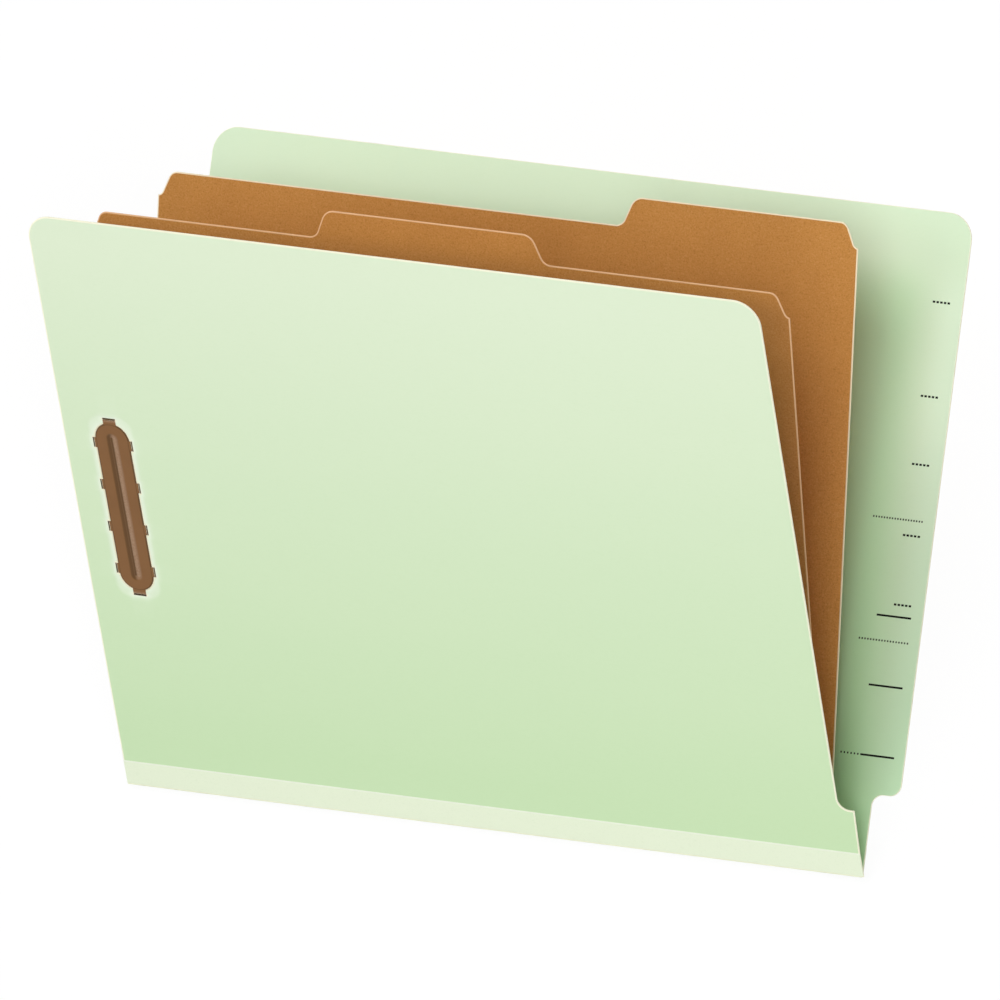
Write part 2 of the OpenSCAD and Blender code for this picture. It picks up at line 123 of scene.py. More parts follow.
# Outlines and meshes
def roundPath(corners, closed=True, chord=0.35, longest=7.0, shortest=0.01, leastCuts=4):
    # each corner (x, y, radius) becomes the arc that touches both its sides; long sides are cut into steps
    flat = np.array([c[:2] for c in corners], float)
    bits = []
    for i, (x, y, radius) in enumerate(corners):
        here = flat[i]
        if radius == 0 or (not closed and i in (0, len(corners) - 1)):
            bits.append(here[None])
            continue
        last = flat[i - 1] - here
        ahead = flat[(i + 1) % len(flat)] - here
        last /= np.linalg.norm(last)
        ahead /= np.linalg.norm(ahead)
        half = np.arccos(np.clip(last @ ahead, -1, 1)) / 2
        middle = (last + ahead) / np.linalg.norm(last + ahead)
        centre = here + middle * radius / np.sin(half)
        first = here + last * radius / np.tan(half) - centre
        final = here + ahead * radius / np.tan(half) - centre
        turn = np.arctan2(first[0] * final[1] - first[1] * final[0], first @ final)
        arcCuts = max(leastCuts, int(np.ceil(abs(turn) * radius / chord)))
        t = np.linspace(0, turn, arcCuts + 1)[:, None]
        bits.append(centre + first * np.cos(t) + np.array([-first[1], first[0]]) * np.sin(t))
    path = np.concatenate(bits)
    path = path[np.linalg.norm(path - np.roll(path, 1, 0), axis=1) > shortest]
    ends = np.roll(path, -1, 0) if closed else path[1:]
    starts = path if closed else path[:-1]
    cuts = np.maximum(1, np.ceil(np.linalg.norm(ends - starts, axis=1) / longest)).astype(int)
    steps = [a + (b - a) * np.arange(n)[:, None] / n for a, b, n in zip(starts, ends, cuts)]
    return np.concatenate(steps if closed else steps + [path[-1:]])


def inwardOf(ring, mitreLeast=0.8):
    # mitred normal of each point of a closed ring that runs anticlockwise, held short at sharp corners
    ahead = np.roll(ring, -1, 0) - ring
    ahead /= np.linalg.norm(ahead, axis=1)[:, None]
    last = np.roll(ahead, 1, 0)
    side = np.stack([-(ahead + last)[:, 1], (ahead + last)[:, 0]], 1)
    return 2 * side / np.maximum((side * side).sum(1), mitreLeast)[:, None]


def insideRing(points, ring):
    # even number of crossings to the right means outside
    inside = np.zeros(len(points), bool)
    for a, b in zip(ring, np.roll(ring, -1, 0)):
        spans = (a[1] > points[:, 1]) != (b[1] > points[:, 1])
        if spans.any():
            cross = a[0] + (points[:, 1] - a[1]) / (b[1] - a[1] + 1e-12) * (b[0] - a[0])
            inside ^= spans & (points[:, 0] < cross)
    return inside


def gridPoints(low, high, step):
    # an even grid of (x, y) over a box, about a step apart
    counts = [max(2, int(round((b - a) / step)) + 1) for a, b in zip(low, high)]
    x, y = np.meshgrid(np.linspace(low[0], high[0], counts[0]), np.linspace(low[1], high[1], counts[1]))
    return np.stack([x.ravel(), y.ravel()], 1)


def edgeDistance(points, ring):
    # shortest way from each point to the sides of a ring
    best = np.full(len(points), np.inf)
    for a, b in zip(ring, np.roll(ring, -1, 0)):
        t = np.clip(((points - a) @ (b - a)) / ((b - a) @ (b - a)), 0, 1)[:, None]
        best = np.minimum(best, ((points - a - t * (b - a)) ** 2).sum(1))
    return np.sqrt(best)


# shares of a step and of a band, and distances in millimetres, that keep points from crowding
fill = dict(stepShare=0.4, bandShare=0.97, rowGap=0.2, holeGap=0.15, weld=1e-5)


def fillRing(ring, step, bands=(), fine=(), holes=(), rows=None):
    # triangles inside a ring and round its holes: rows of points at the bands from its edge, then a grid,
    # denser in the fine boxes
    points = gridPoints(ring.min(0), ring.max(0), step)
    for low, high, size in fine:
        outsideBox = (points < np.array(low) - step / 2).any(1) | (points > np.array(high) + step / 2).any(1)
        points = np.concatenate([points[outsideBox], gridPoints(low, high, size)])
    points = points[insideRing(points, ring)]
    widest = max(bands, default=0) + fill["stepShare"] * min([step] + [size for low, high, size in fine])
    points = points[edgeDistance(points, ring) > widest]
    inward = inwardOf(ring)
    for band in bands:
        row = ring + inward * band
        row = row[insideRing(row, ring)]
        points = np.concatenate([points, row[edgeDistance(row, ring) > fill["bandShare"] * band]])
    if rows is not None:
        near = np.linalg.norm(points[:, None] - rows, axis=2).min(1)
        points = np.concatenate([points[near > fill["rowGap"]], rows])
    for hole in holes:
        low, high = hole.min(0) - fill["holeGap"], hole.max(0) + fill["holeGap"]
        points = points[(points < low).any(1) | (points > high).any(1)]
    loops, start = [], 0
    for loop in [ring, *holes]:
        index = np.arange(len(loop)) + start
        loops.append(np.stack([index, np.roll(index, -1)], 1))
        start += len(loop)
    flat = np.concatenate([ring, *holes, points])
    edges = np.concatenate(loops).tolist()
    made = delaunay_2d_cdt([Vector(p) for p in flat], edges, [], 1, fill["weld"])
    spots = np.array([tuple(p) for p in made[0]])
    source = np.array([ids[0] for ids in made[3]])
    triangles = np.array(made[2])
    centres = spots[triangles].mean(1)
    keep = insideRing(centres, ring)
    for hole in holes:
        keep &= ~insideRing(centres, hole)
    return flat, source[triangles[keep]]


def bandFaces(rows, columns, closed=True):
    # quads between the rows of a grid, whose columns close into a ring or stay open
    r, c = np.meshgrid(np.arange(rows - 1), np.arange(columns if closed else columns - 1), indexing="ij")
    n = (c + 1) % columns
    corners = [r * columns + c, r * columns + n, (r + 1) * columns + n, (r + 1) * columns + c]
    return np.stack(corners, -1).reshape(-1, 4)


def closeShells(mesh, gap=1e-7):
    # merges doubled points and turns each closed shell outwards
    work = bmesh.new()
    work.from_mesh(mesh)
    bmesh.ops.remove_doubles(work, verts=work.verts, dist=gap)
    bmesh.ops.recalc_face_normals(work, faces=work.faces)
    work.to_mesh(mesh)
    work.free()


def addPiece(name, verts, faces, material, body, replaced=(), leafMap=None, layers=None, sharp=35):
    # a mesh from points in metres and faces, with its leaf map and layers, given to the frame
    mesh = bpy.data.meshes.new(name)
    mesh.from_pydata(verts.tolist(), [], [list(map(int, f)) for f in faces])
    if leafMap is not None:
        corner = np.empty(len(mesh.loops), np.int32)
        mesh.loops.foreach_get("vertex_index", corner)
        spots = leafMap[corner].astype(np.float32).ravel()
        mesh.uv_layers.new(name="leafMap").uv.foreach_set("vector", spots)
    for key, values in (layers or {}).items():
        mesh.attributes.new(key, "FLOAT", "POINT").data.foreach_set("value", np.asarray(values, np.float32))
    closeShells(mesh)
    mesh.shade_smooth()
    mesh.set_sharp_from_angle(angle=np.radians(sharp))
    mesh.materials.append(material)
    piece = bpy.data.objects.new(name, mesh)
    bpy.context.scene.collection.objects.link(piece)
    if body:
        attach(piece, body)
    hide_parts(*replaced)
    return piece


# Materials
def linear(red, green, blue):
    # screen levels from 0 to 255 as linear light
    c = np.array([red, green, blue]) / 255
    return (*np.where(c <= 0.04045, c / 12.92, ((c + 0.055) / 1.055) ** 2.4), 1.0)


class Finish:
    # a node material with short ways to add the nodes that these finishes share
    def __init__(self, name):
        self.material = bpy.data.materials.new(name)
        self.material.use_nodes = True
        self.tree = self.material.node_tree
        self.bsdf = self.tree.nodes["Principled BSDF"]

    def node(self, kind, **sockets):
        made = self.tree.nodes.new(kind)
        for key, value in sockets.items():
            self.put(made.inputs[key.replace("_", " ")], value)
        return made

    def put(self, socket, value):
        if isinstance(value, bpy.types.NodeSocket):
            self.tree.links.new(value, socket)
        else:
            socket.default_value = value

    def surface(self, **sockets):
        for key, value in sockets.items():
            self.put(self.bsdf.inputs[key.replace("_", " ")], value)

    def place(self, scale=(1, 1, 1), leaf=False, turn=0.0):
        # the place on the leaf or in the object, in metres, scaled and turned
        if leaf:
            source = self.tree.nodes.new("ShaderNodeUVMap")
            source.uv_map = "leafMap"
            spot = source.outputs["UV"]
        else:
            spot = self.tree.nodes.new("ShaderNodeTexCoord").outputs["Object"]
        made = self.node("ShaderNodeMapping", Vector=spot, Scale=scale, Rotation=(0, 0, turn))
        return made.outputs["Vector"]

    def noise(self, spot, scale, detail=3.0, roughness=0.55):
        made = self.node("ShaderNodeTexNoise", Vector=spot, Scale=scale, Detail=detail, Roughness=roughness)
        return made.outputs["Fac"]

    def layer(self, name):
        # a value that the mesh keeps at its points
        made = self.tree.nodes.new("ShaderNodeAttribute")
        made.attribute_name = name
        return made.outputs["Fac"]

    def span(self, value, low, high, start=0.0, end=1.0, smooth=True):
        made = self.tree.nodes.new("ShaderNodeMapRange")
        made.interpolation_type = "SMOOTHSTEP" if smooth else "LINEAR"
        for i, v in enumerate((value, low, high, start, end)):
            self.put(made.inputs[i], v)
        return made.outputs["Result"]

    def maths(self, operation, a, b=0.0):
        made = self.tree.nodes.new("ShaderNodeMath")
        made.operation = operation
        self.put(made.inputs[0], a)
        self.put(made.inputs[1], b)
        return made.outputs["Value"]

    def mix(self, share, a, b, blend="MIX"):
        made = self.tree.nodes.new("ShaderNodeMix")
        made.data_type = "RGBA"
        made.blend_type = blend
        for name, value in (("Factor", share), ("A", a), ("B", b)):
            self.put(next(s for s in made.inputs if s.name == name and s.enabled), value)
        return next(s for s in made.outputs if s.enabled)

    def bump(self, height, strength, depth):
        return self.node("ShaderNodeBump", Height=height, Strength=strength, Distance=depth).outputs["Normal"]


# A span is (low, high) of a texture or a place, and the shares at its two ends
noiseBand = (0.3, 0.7)  # where most of a noise's values lie
pressboard = dict(
    # top is a paler green that paints a sheen high on a board
    top=linear(225, 240, 211), foot=linear(204, 231, 185), core=linear(254, 251, 225),
    pressedTint=linear(238, 249, 228), rubbedTint=linear(247, 240, 208), slotShadeTint=linear(62, 41, 14),
    driftScale=(2.2, 16, 1), driftTurn=0.06, driftSpan=(0.35, 0.7, 0, 0.03),
    fibreScale=(420, 1500, 420), fibreTurn=0.3, fibreSpan=(0.52, 0.75, 0, 0.045),
    speckScale=2600.0, speckSpan=(0.6, 0.75, 0, 0.045),
    # painted shade on the inner faces under the dividers, and painted light on the open tab
    paintedShadeX=(0.284, 0.303, 1, 0), paintedShadeH=(0.204, 0.228, 1, 0),
    paintedLightX=(0.297, 0.309, 0, 1), paintedLightTint=(1.06, 1.05, 1.09, 1),
    pressedShare=0.9, rubbedSpan=(0.9, 1.0, 0.0, 0.85), edgeHighlightShare=0.9,
    roughness=(0.54, 0.68), shine=0.32, bump=0.12, bumpDepth=0.00006,
)
# the span of heights takes a board from its foot green to the paler top, a painted sheen, with painted shade
# low on the back cover; the tint on the inner face under the dividers is painted shade; edge is how many
# millimetres in from the cut the pale band reaches, partly the paler core and mostly a painted highlight
frontLook = dict(
    foot=pressboard["foot"], tint=(1, 1, 1, 1), paintedShade=(0.94, 0.96, 0.86, 1),
    sheenShadeSpan=(0.02, 0.23, 0, 1), edge=0.62,
)
backLook = dict(
    foot=linear(190, 221, 175), tint=(1.025, 1.07, 1.075, 1), paintedShade=(0.87, 1.0, 0.88, 1),
    sheenShadeSpan=(0.0, 0.16, 0, 0.8), edge=0.25,
)


def pressboardFinish(name, look):
    # green that pales with height, a painted sheen, and is deeper low on the back cover, a painted shade;
    # under faint paler streaks of painted sheen, short fibres and specks
    f = Finish(name)
    p = pressboard
    spot = f.node("ShaderNodeSeparateXYZ", Vector=f.place(leaf=True)).outputs
    colour = f.mix(f.span(spot["Y"], *look["sheenShadeSpan"], smooth=False), look["foot"], p["top"])
    colour = f.mix(1.0, colour, look["tint"], "MULTIPLY")
    # painted shade: the inner face is deeper where the dividers lie over it; painted light: it is paler where
    # the back cover's tab is open
    inner = f.maths("MULTIPLY", f.layer("innerFace"), f.span(spot["Y"], *p["paintedShadeH"]))
    paintedShade = f.maths("MULTIPLY", inner, f.span(spot["X"], *p["paintedShadeX"]))
    paintedLight = f.maths("MULTIPLY", inner, f.span(spot["X"], *p["paintedLightX"]))
    colour = f.mix(paintedShade, colour, look["paintedShade"], "MULTIPLY")
    colour = f.mix(paintedLight, colour, p["paintedLightTint"], "MULTIPLY")
    # faint paler streaks: a painted sheen
    drift = f.noise(f.place(p["driftScale"], leaf=True, turn=p["driftTurn"]), 1.0, detail=2.0)
    fibre = f.noise(f.place(p["fibreScale"], turn=p["fibreTurn"]), 1.0, detail=4.0, roughness=0.65)
    speck = f.noise(f.place(), p["speckScale"], detail=2.0, roughness=0.7)
    colour = f.mix(f.span(drift, *p["driftSpan"]), colour, p["core"])
    colour = f.mix(f.span(fibre, *p["fibreSpan"]), colour, p["foot"], "MULTIPLY")
    colour = f.mix(f.span(speck, *p["speckSpan"]), colour, p["core"])
    pressed = f.layer("pressed")
    colour = f.mix(f.maths("MULTIPLY", pressed, p["pressedShare"]), colour, p["pressedTint"])
    colour = f.mix(f.span(pressed, *p["rubbedSpan"]), colour, p["rubbedTint"])
    # a pale band along the cut edge: partly the paler core, mostly a painted highlight
    edge = f.span(f.layer("edgeGap"), 0.5 * look["edge"], look["edge"], p["edgeHighlightShare"], 0.0)
    colour = f.mix(edge, colour, p["core"])
    # painted shade in the slots
    colour = f.mix(f.layer("slotShade"), colour, p["slotShadeTint"])
    rough = f.span(fibre, *noiseBand, *p["roughness"])
    relief = f.bump(f.mix(0.5, fibre, speck), p["bump"], p["bumpDepth"])
    f.surface(Base_Color=colour, Roughness=rough, Specular_IOR_Level=p["shine"], Normal=relief)
    return f.material


kraft = dict(
    base=linear(194, 136, 70), dark=linear(154, 101, 48), pale=linear(213, 160, 98),
    grainScale=1500.0, darkGrain=(0.5, 0.78, 0, 0.75), paleGrain=(0.5, 0.25, 0, 0.6),
    fibreScale=(300, 1700, 300), fibreTurn=0.5, paleFibre=(0.55, 0.75, 0, 0.3),
    cloudScale=45.0, darkCloud=(0.4, 0.7, 0, 0.12),
    lowLightSpan=(0.14, 0.2, 1, 0), tabSpan=(0.214, 0.227, 0, 1), edgeHighlightSpan=(0.3, 0.62, 0.9, 0.0),
    roughness=(0.74, 0.92), shine=0.12, bump=0.25, bumpDepth=0.00008,
)
# low lightens the lower part of a divider as painted light; on the front divider the tint darkens the whole
# board as painted shade and tab lifts its tab back out of it; edge is the colour of a painted highlight along
# the cut edge
rearLook = dict(tint=(1, 1, 1, 1), low=(1.24, 1.25, 1.32, 1), tab=(1, 1, 1, 1), edge=linear(253, 242, 210))
middleLook = dict(
    tint=(0.84, 0.79, 0.9, 1), low=(1.16, 1.09, 1.22, 1), tab=(1.24, 1.24, 1.12, 1),
    edge=linear(240, 194, 152),
)


def kraftFinish(name, look):
    # brown pulp with dark and pale grains, pale fibres and soft clouds
    f = Finish(name)
    k = kraft
    grain = f.noise(f.place(), k["grainScale"], detail=3.0, roughness=0.75)
    fibre = f.noise(f.place(k["fibreScale"], turn=k["fibreTurn"]), 1.0, detail=3.0, roughness=0.7)
    cloud = f.noise(f.place(), k["cloudScale"], detail=3.0)
    colour = f.mix(f.span(grain, *k["darkGrain"]), k["base"], k["dark"])
    colour = f.mix(f.span(grain, *k["paleGrain"]), colour, k["pale"])
    colour = f.mix(f.span(fibre, *k["paleFibre"]), colour, k["pale"])
    colour = f.mix(f.span(cloud, *k["darkCloud"]), colour, k["dark"])
    # on the front divider this tint is a painted shade over the whole board
    colour = f.mix(1.0, colour, look["tint"], "MULTIPLY")
    height = f.node("ShaderNodeSeparateXYZ", Vector=f.place(leaf=True)).outputs["Y"]
    # painted light on the lower part of a divider
    colour = f.mix(f.span(height, *k["lowLightSpan"]), colour, look["low"], "MULTIPLY")
    # the tab lifted back out of that painted shade
    colour = f.mix(f.span(height, *k["tabSpan"]), colour, look["tab"], "MULTIPLY")
    # a painted highlight along the cut edge
    colour = f.mix(f.span(f.layer("edgeGap"), *k["edgeHighlightSpan"]), colour, look["edge"])
    rough = f.span(grain, *noiseBand, *k["roughness"])
    relief = f.bump(f.mix(0.4, grain, fibre), k["bump"], k["bumpDepth"])
    f.surface(Base_Color=colour, Roughness=rough, Specular_IOR_Level=k["shine"], Normal=relief)
    return f.material


cloth = dict(
    base=linear(238, 248, 221), shade=linear(208, 225, 190), hemHighlight=linear(244, 249, 234), hemHighlightShare=0.6,
    pitch=0.42, weaveSpan=(-1.0, 1.0, 0.0, 0.16), fuzzScale=900.0, fuzzSpan=(0.5, 0.8, 0, 0.2),
    roughness=0.7, sheen=0.1, shine=0.25, bump=0.15, bumpDepth=0.00004,
)


def clothFinish():
    # warp and weft as two crossed sine ribs, a thread every pitch
    f = Finish("spine_cloth")
    c = cloth
    spot = f.node("ShaderNodeSeparateXYZ", Vector=f.place()).outputs
    turns = 2 * np.pi / (c["pitch"] * mm)
    warp = f.maths("SINE", f.maths("MULTIPLY", spot["X"], turns))
    weft = f.maths("SINE", f.maths("MULTIPLY", f.maths("ADD", spot["Y"], spot["Z"]), turns))
    weave = f.maths("MULTIPLY", warp, weft)
    fuzz = f.noise(f.place(), c["fuzzScale"], detail=3.0, roughness=0.7)
    colour = f.mix(f.span(weave, *c["weaveSpan"]), c["base"], c["shade"])
    colour = f.mix(f.span(fuzz, *c["fuzzSpan"]), colour, c["shade"])
    # a painted highlight along the tape's top edge
    colour = f.mix(f.maths("MULTIPLY", f.layer("hemHighlight"), c["hemHighlightShare"]), colour, c["hemHighlight"])
    f.surface(Base_Color=colour, Roughness=c["roughness"], Normal=f.bump(weave, c["bump"], c["bumpDepth"]))
    f.surface(Sheen_Weight=c["sheen"], Specular_IOR_Level=c["shine"])
    return f.material


enamel = dict(
    # the darker brown is painted shade and the pale one a painted highlight
    base=linear(127, 88, 51), shade=linear(116, 79, 45), plateHighlight=linear(186, 158, 132), plateShade=linear(88, 60, 31),
    rippleScale=1400.0, highlightSpan=(0.3, 0.6, 0.5, 1.0), cloudScale=120.0, cloudSpan=(0.35, 0.75, 0, 0.3),
    plateShadeShare=0.9, roughness=0.38, shine=0.32, shineTint=(1.0, 0.84, 0.68, 1), bump=0.05, bumpDepth=0.00005,
)


def enamelFinish():
    # brown paint with faint clouds, painted shade on the groove's left flank, round the rim and on the
    # teeth's ends, and painted highlight on the groove's other flank and the end teeth
    f = Finish("brown_enamel")
    e = enamel
    ripple = f.noise(f.place(), e["rippleScale"], detail=2.0)
    cloud = f.noise(f.place(), e["cloudScale"], detail=3.0)
    colour = f.mix(f.span(cloud, *e["cloudSpan"]), e["base"], e["shade"])
    colour = f.mix(f.maths("MULTIPLY", f.layer("plateShade"), e["plateShadeShare"]), colour, e["plateShade"])
    # the bend layer carries the painted highlight
    highlightShare = f.maths("MULTIPLY", f.layer("bend"), f.span(ripple, *e["highlightSpan"]))
    colour = f.mix(highlightShare, colour, e["plateHighlight"])
    f.surface(Base_Color=colour, Roughness=e["roughness"], Normal=f.bump(ripple, e["bump"], e["bumpDepth"]))
    f.surface(Specular_IOR_Level=e["shine"], Specular_Tint=e["shineTint"])
    return f.material


steel = dict(
    base=linear(190, 192, 195), streak=linear(172, 174, 178), streakScale=(2200, 30, 30),
    streakSpan=(0.35, 0.7), blotScale=160.0, roughness=(0.28, 0.48), bump=0.02, bumpDepth=0.00002,
)


def steelFinish():
    # satin metal with long faint streaks from the rolls
    f = Finish("bright_steel")
    m = steel
    streak = f.noise(f.place(m["streakScale"]), 1.0, detail=1.0, roughness=0.5)
    blot = f.noise(f.place(), m["blotScale"], detail=3.0)
    colour = f.mix(f.span(streak, *m["streakSpan"]), m["base"], m["streak"])
    rough = f.span(blot, *noiseBand, *m["roughness"])
    relief = f.bump(streak, m["bump"], m["bumpDepth"])
    f.surface(Base_Color=colour, Metallic=1.0, Roughness=rough, Normal=relief)
    return f.material


ink = dict(
    base=linear(8, 10, 8), thin=linear(30, 36, 28), bleedScale=5200.0, bleedSpan=(0.35, 0.75),
    roughness=0.8, shine=0.1,
)


def inkFinish():
    # black print that is thinner in small specks
    f = Finish("black_ink")
    bleed = f.noise(f.place(), ink["bleedScale"], detail=2.0)
    colour = f.mix(f.span(bleed, *ink["bleedSpan"]), ink["base"], ink["thin"])
    f.surface(Base_Color=colour, Roughness=ink["roughness"], Specular_IOR_Level=ink["shine"])
    return f.material


frontBoard = pressboardFinish("pressboard_front", frontLook)
backBoard = pressboardFinish("pressboard_back", backLook)
rearKraft = kraftFinish("kraft_rear", rearLook)
frontKraft = kraftFinish("kraft_front", middleLook)
spineCloth = clothFinish()
brownEnamel = enamelFinish()
brightSteel = steelFinish()
blackInk = inkFinish()
print("finishes made")


# Boards: a soft-edged profile carried round the outline, with both faces filled
def boardRows(thickness, soft, cuts=4):
    # (inset, out) from the front face round the edge to the rear face; the edge is two quarter rounds
    t = np.linspace(0, np.pi / 2, cuts)
    half = np.stack([soft * (1 - np.sin(t)), thickness / 2 - soft * (1 - np.cos(t))], 1)
    return np.concatenate([half, (half * [1, -1])[::-1]])


def boardParts(outline, thickness, soft=0.12, relief=None, reliefSide=1, fine=(), slots=(), slotDepth=0.0,
               slotLip=0.02, farGap=9.0, rows=None, pressed=None, bands=(0.45, 0.9, 1.6), step=8.0):
    # rows of the outline round the edge, then both faces; one is dressed with the relief, slots and tint
    ring = roundPath(outline)
    inward = inwardOf(ring)
    rim = boardRows(thickness, soft)
    count = len(ring)
    flat = (ring[None] + inward[None] * rim[:, 0][:, None, None]).reshape(-1, 2)
    out = np.repeat(rim[:, 1], count)
    gap = np.repeat(rim[:, 0], count)
    shade = np.zeros(len(flat))
    faces = bandFaces(len(rim), count).tolist()
    for side, row in ((1, 0), (-1, len(rim) - 1)):
        edge = flat[row * count:(row + 1) * count]
        dressed = side == reliefSide
        holes = list(slots) if dressed else []
        extras = dict(fine=fine, holes=holes, rows=rows) if dressed else {}
        spots, triangles = fillRing(edge, step, bands, **extras)
        index = np.concatenate([np.arange(count) + row * count, np.arange(len(spots) - count) + len(flat)])
        extra = spots[count:]
        rise = relief(extra[:, 0], extra[:, 1]) if dressed and relief else np.zeros(len(extra))
        flat = np.concatenate([flat, extra])
        out = np.concatenate([out, side * (thickness / 2 + rise)])
        gap = np.concatenate([gap, edgeDistance(extra, ring)])
        shade = np.concatenate([shade, np.zeros(len(extra))])
        faces += index[triangles].tolist()
        start = count
        for hole in holes:
            loop = index[start:start + len(hole)]
            floor = np.arange(len(hole)) + len(flat)
            top = np.arange(len(hole)) + len(flat) + len(hole)
            flat = np.concatenate([flat, hole, hole])
            floorOut = np.full(len(hole), side * (thickness / 2 - slotDepth))
            out = np.concatenate([out, floorOut, out[loop] - side * slotLip])
            gap = np.concatenate([gap, np.full(2 * len(hole), farGap)])
            # the slot's walls and floor carry painted shade
            shade = np.concatenate([shade, np.ones(2 * len(hole))])
            ahead = np.roll(np.arange(len(hole)), -1)
            faces += np.stack([loop, loop[ahead], top[ahead], top], 1).tolist()
            faces += np.stack([top, top[ahead], floor[ahead], floor], 1).tolist()
            faces.append(floor.tolist())
            start += len(hole)
    tint = pressed(flat[:, 0], flat[:, 1]) if pressed else np.zeros(len(flat))
    layers = dict(edgeGap=gap, slotShade=shade, pressed=tint, innerFace=(out * reliefSide < 0).astype(float))
    return np.column_stack([flat, out]), faces, layers


def addBoard(name, leaf, outline, thickness, material, slotName, node, **look):
    # a board in place of one node, mapped by its place on the leaf in metres
    verts, faces, layers = boardParts(outline, thickness, **look)
    addPiece(name, toWorld(leaf, verts), faces, material, leaf, [node], verts[:, :2] * mm, layers)


# Fastener sizes shared by the covers' pockets and the plates
plateLow, plateHigh = leafBox("front_plate", "front_cover")
fastenerX = (plateLow[0] + plateHigh[0]) / 2
fastenerH = (plateLow[1] + plateHigh[1]) / 2
fastener = dict(
    plateLen=70.6, plateW=13.8, plateT=0.35, plateSink=0.02, crown=0.1,
    rim=0.3, rimFade=0.62, rimShade=0.45, rimLip=0.02, grooveW=4.8, grooveDepth=0.46, grooveEnd=0.5,
    grooveShift=0.5, grooveSoft=0.2, grooveEcho=0.2, grooveGap=0.15,
    sideTeeth=4, toothPitch=17.8, toothW=4.2, toothT=0.3, toothReach=1.0, toothFold=2.8,
    endToothW=5.2, endToothReach=1.85, slotNear=0.3, slotSideFar=0.2, slotEndFar=0.45, slotDepth=0.5,
    stripLen=73.0, stripW=12.0, clinchedW=13.8, stripT=0.3, stripR=2.0, stripLift=0.01,
)
pocket = dict(
    side=1.0, end=1.0, radius=5.0, depth=0.17, slope=1.5, pale=0.45, haloPale=0.55, haloW=1.9,
    seatDepth=0.32, seatGap=0.1, seatWall=0.08, rowsAt=(-0.085, 0.01), hair=0.001,
    fineMargin=2.0, fineStep=0.55,
)


def pocketAway(x, h):
    # distance outside the pressed pocket's rounded rectangle, less than 0 inside it
    f = fastener
    r = pocket["radius"]
    dx = np.abs(x - fastenerX) - (f["plateW"] / 2 + f["toothReach"] + pocket["side"] - r)
    dh = np.abs(h - fastenerH) - (f["plateLen"] / 2 + f["endToothReach"] + pocket["end"] - r)
    return np.hypot(np.maximum(dx, 0), np.maximum(dh, 0)) + np.minimum(np.maximum(dx, dh), 0) - r


def pocketShare(x, h):
    # 1 inside the pocket, 0 outside it, smooth over its slope
    t = np.clip(0.5 - pocketAway(x, h) / pocket["slope"], 0, 1)
    return t * t * (3 - 2 * t)


def plateAway(x, h):
    # distance outside the plate's outline, which has half-round ends
    f = fastener
    along = np.maximum(np.abs(h - fastenerH) - (f["plateLen"] - f["plateW"]) / 2, 0)
    return np.hypot(x - fastenerX, along) - f["plateW"] / 2


def pocketRelief(x, h):
    # the pocket, with a deeper seat under the plate
    seat = np.clip((pocket["seatGap"] - plateAway(x, h)) / pocket["seatWall"], 0, 1)
    return -pocket["depth"] * pocketShare(x, h) - pocket["seatDepth"] * seat


def toothSpots():
    # (x, h, direction away from the plate, width, reach, folds inwards) of each tooth of an outer plate
    f = fastener
    spots = []
    for i in range(f["sideTeeth"]):
        h = fastenerH + (i - (f["sideTeeth"] - 1) / 2) * f["toothPitch"]
        for s in (-1, 1):
            x = fastenerX + s * f["plateW"] / 2
            spots.append((x, h, (s, 0), f["toothW"], f["toothReach"], True))
    for s in (-1, 1):
        h = fastenerH + s * f["plateLen"] / 2
        spots.append((fastenerX, h, (0, s), f["endToothW"], f["endToothReach"], False))
    return spots


def slotRings():
    # a slot opens from just inside each tooth's bend to a little beyond it
    rings = []
    for x, h, (dx, dh), width, reach, inwards in toothSpots():
        near = reach - fastener["slotNear"]
        far = reach + fastener["slotSideFar" if inwards else "slotEndFar"]
        along = np.array([near, far, far, near])
        across = np.array([-1, -1, 1, 1]) * width / 2
        ring = np.column_stack([x + along * dx - across * dh, h + along * dh + across * dx])
        rings.append(ring)
    return rings


def slotAway(x, h):
    # distance to the nearest slot
    best = np.full(np.shape(x), np.inf)
    for ring in slotRings():
        low, high = ring.min(0), ring.max(0)
        dx = np.maximum(np.maximum(low[0] - x, x - high[0]), 0)
        dh = np.maximum(np.maximum(low[1] - h, h - high[1]), 0)
        best = np.minimum(best, np.hypot(dx, dh))
    return best


def pocketTint(x, h):
    # paper rubbed pale in the pocket, most of all close to the plate and its teeth
    near = np.maximum(np.minimum(plateAway(x, h), slotAway(x, h)), 0)
    halo = np.exp(-(near / pocket["haloW"]) ** 2)
    return np.clip(pocket["pale"] * pocketShare(x, h) + pocket["haloPale"] * halo, 0, 1)


def pocketBox():
    # two corners of the box round the pocket that takes a denser grid, and its step
    f = fastener
    half = np.array([f["plateW"] / 2 + f["toothReach"], f["plateLen"] / 2 + f["endToothReach"]])
    half += [pocket["side"] + pocket["fineMargin"], pocket["end"] + pocket["fineMargin"]]
    middle = np.array([fastenerX, fastenerH])
    return middle - half, middle + half, pocket["fineStep"]


def boxCorners(halfW, halfL, radius):
    # corners of a rounded rectangle about the fastener's middle, anticlockwise
    signs = ((-1, -1), (1, -1), (1, 1), (-1, 1))
    return [(fastenerX + a * halfW, fastenerH + b * halfL, radius) for a, b in signs]


def seatRows():
    # two rows of points close round the plate, where the seat drops from the pocket
    f = fastener
    core = (f["plateLen"] - f["plateW"]) / 2
    rows = []
    for away in pocket["rowsAt"]:
        r = f["plateW"] / 2 + (pocket["seatGap"] + away)
        rows.append(roundPath(boxCorners(r, core + r, r - pocket["hair"]), chord=0.5, longest=0.8))
    return np.concatenate(rows)


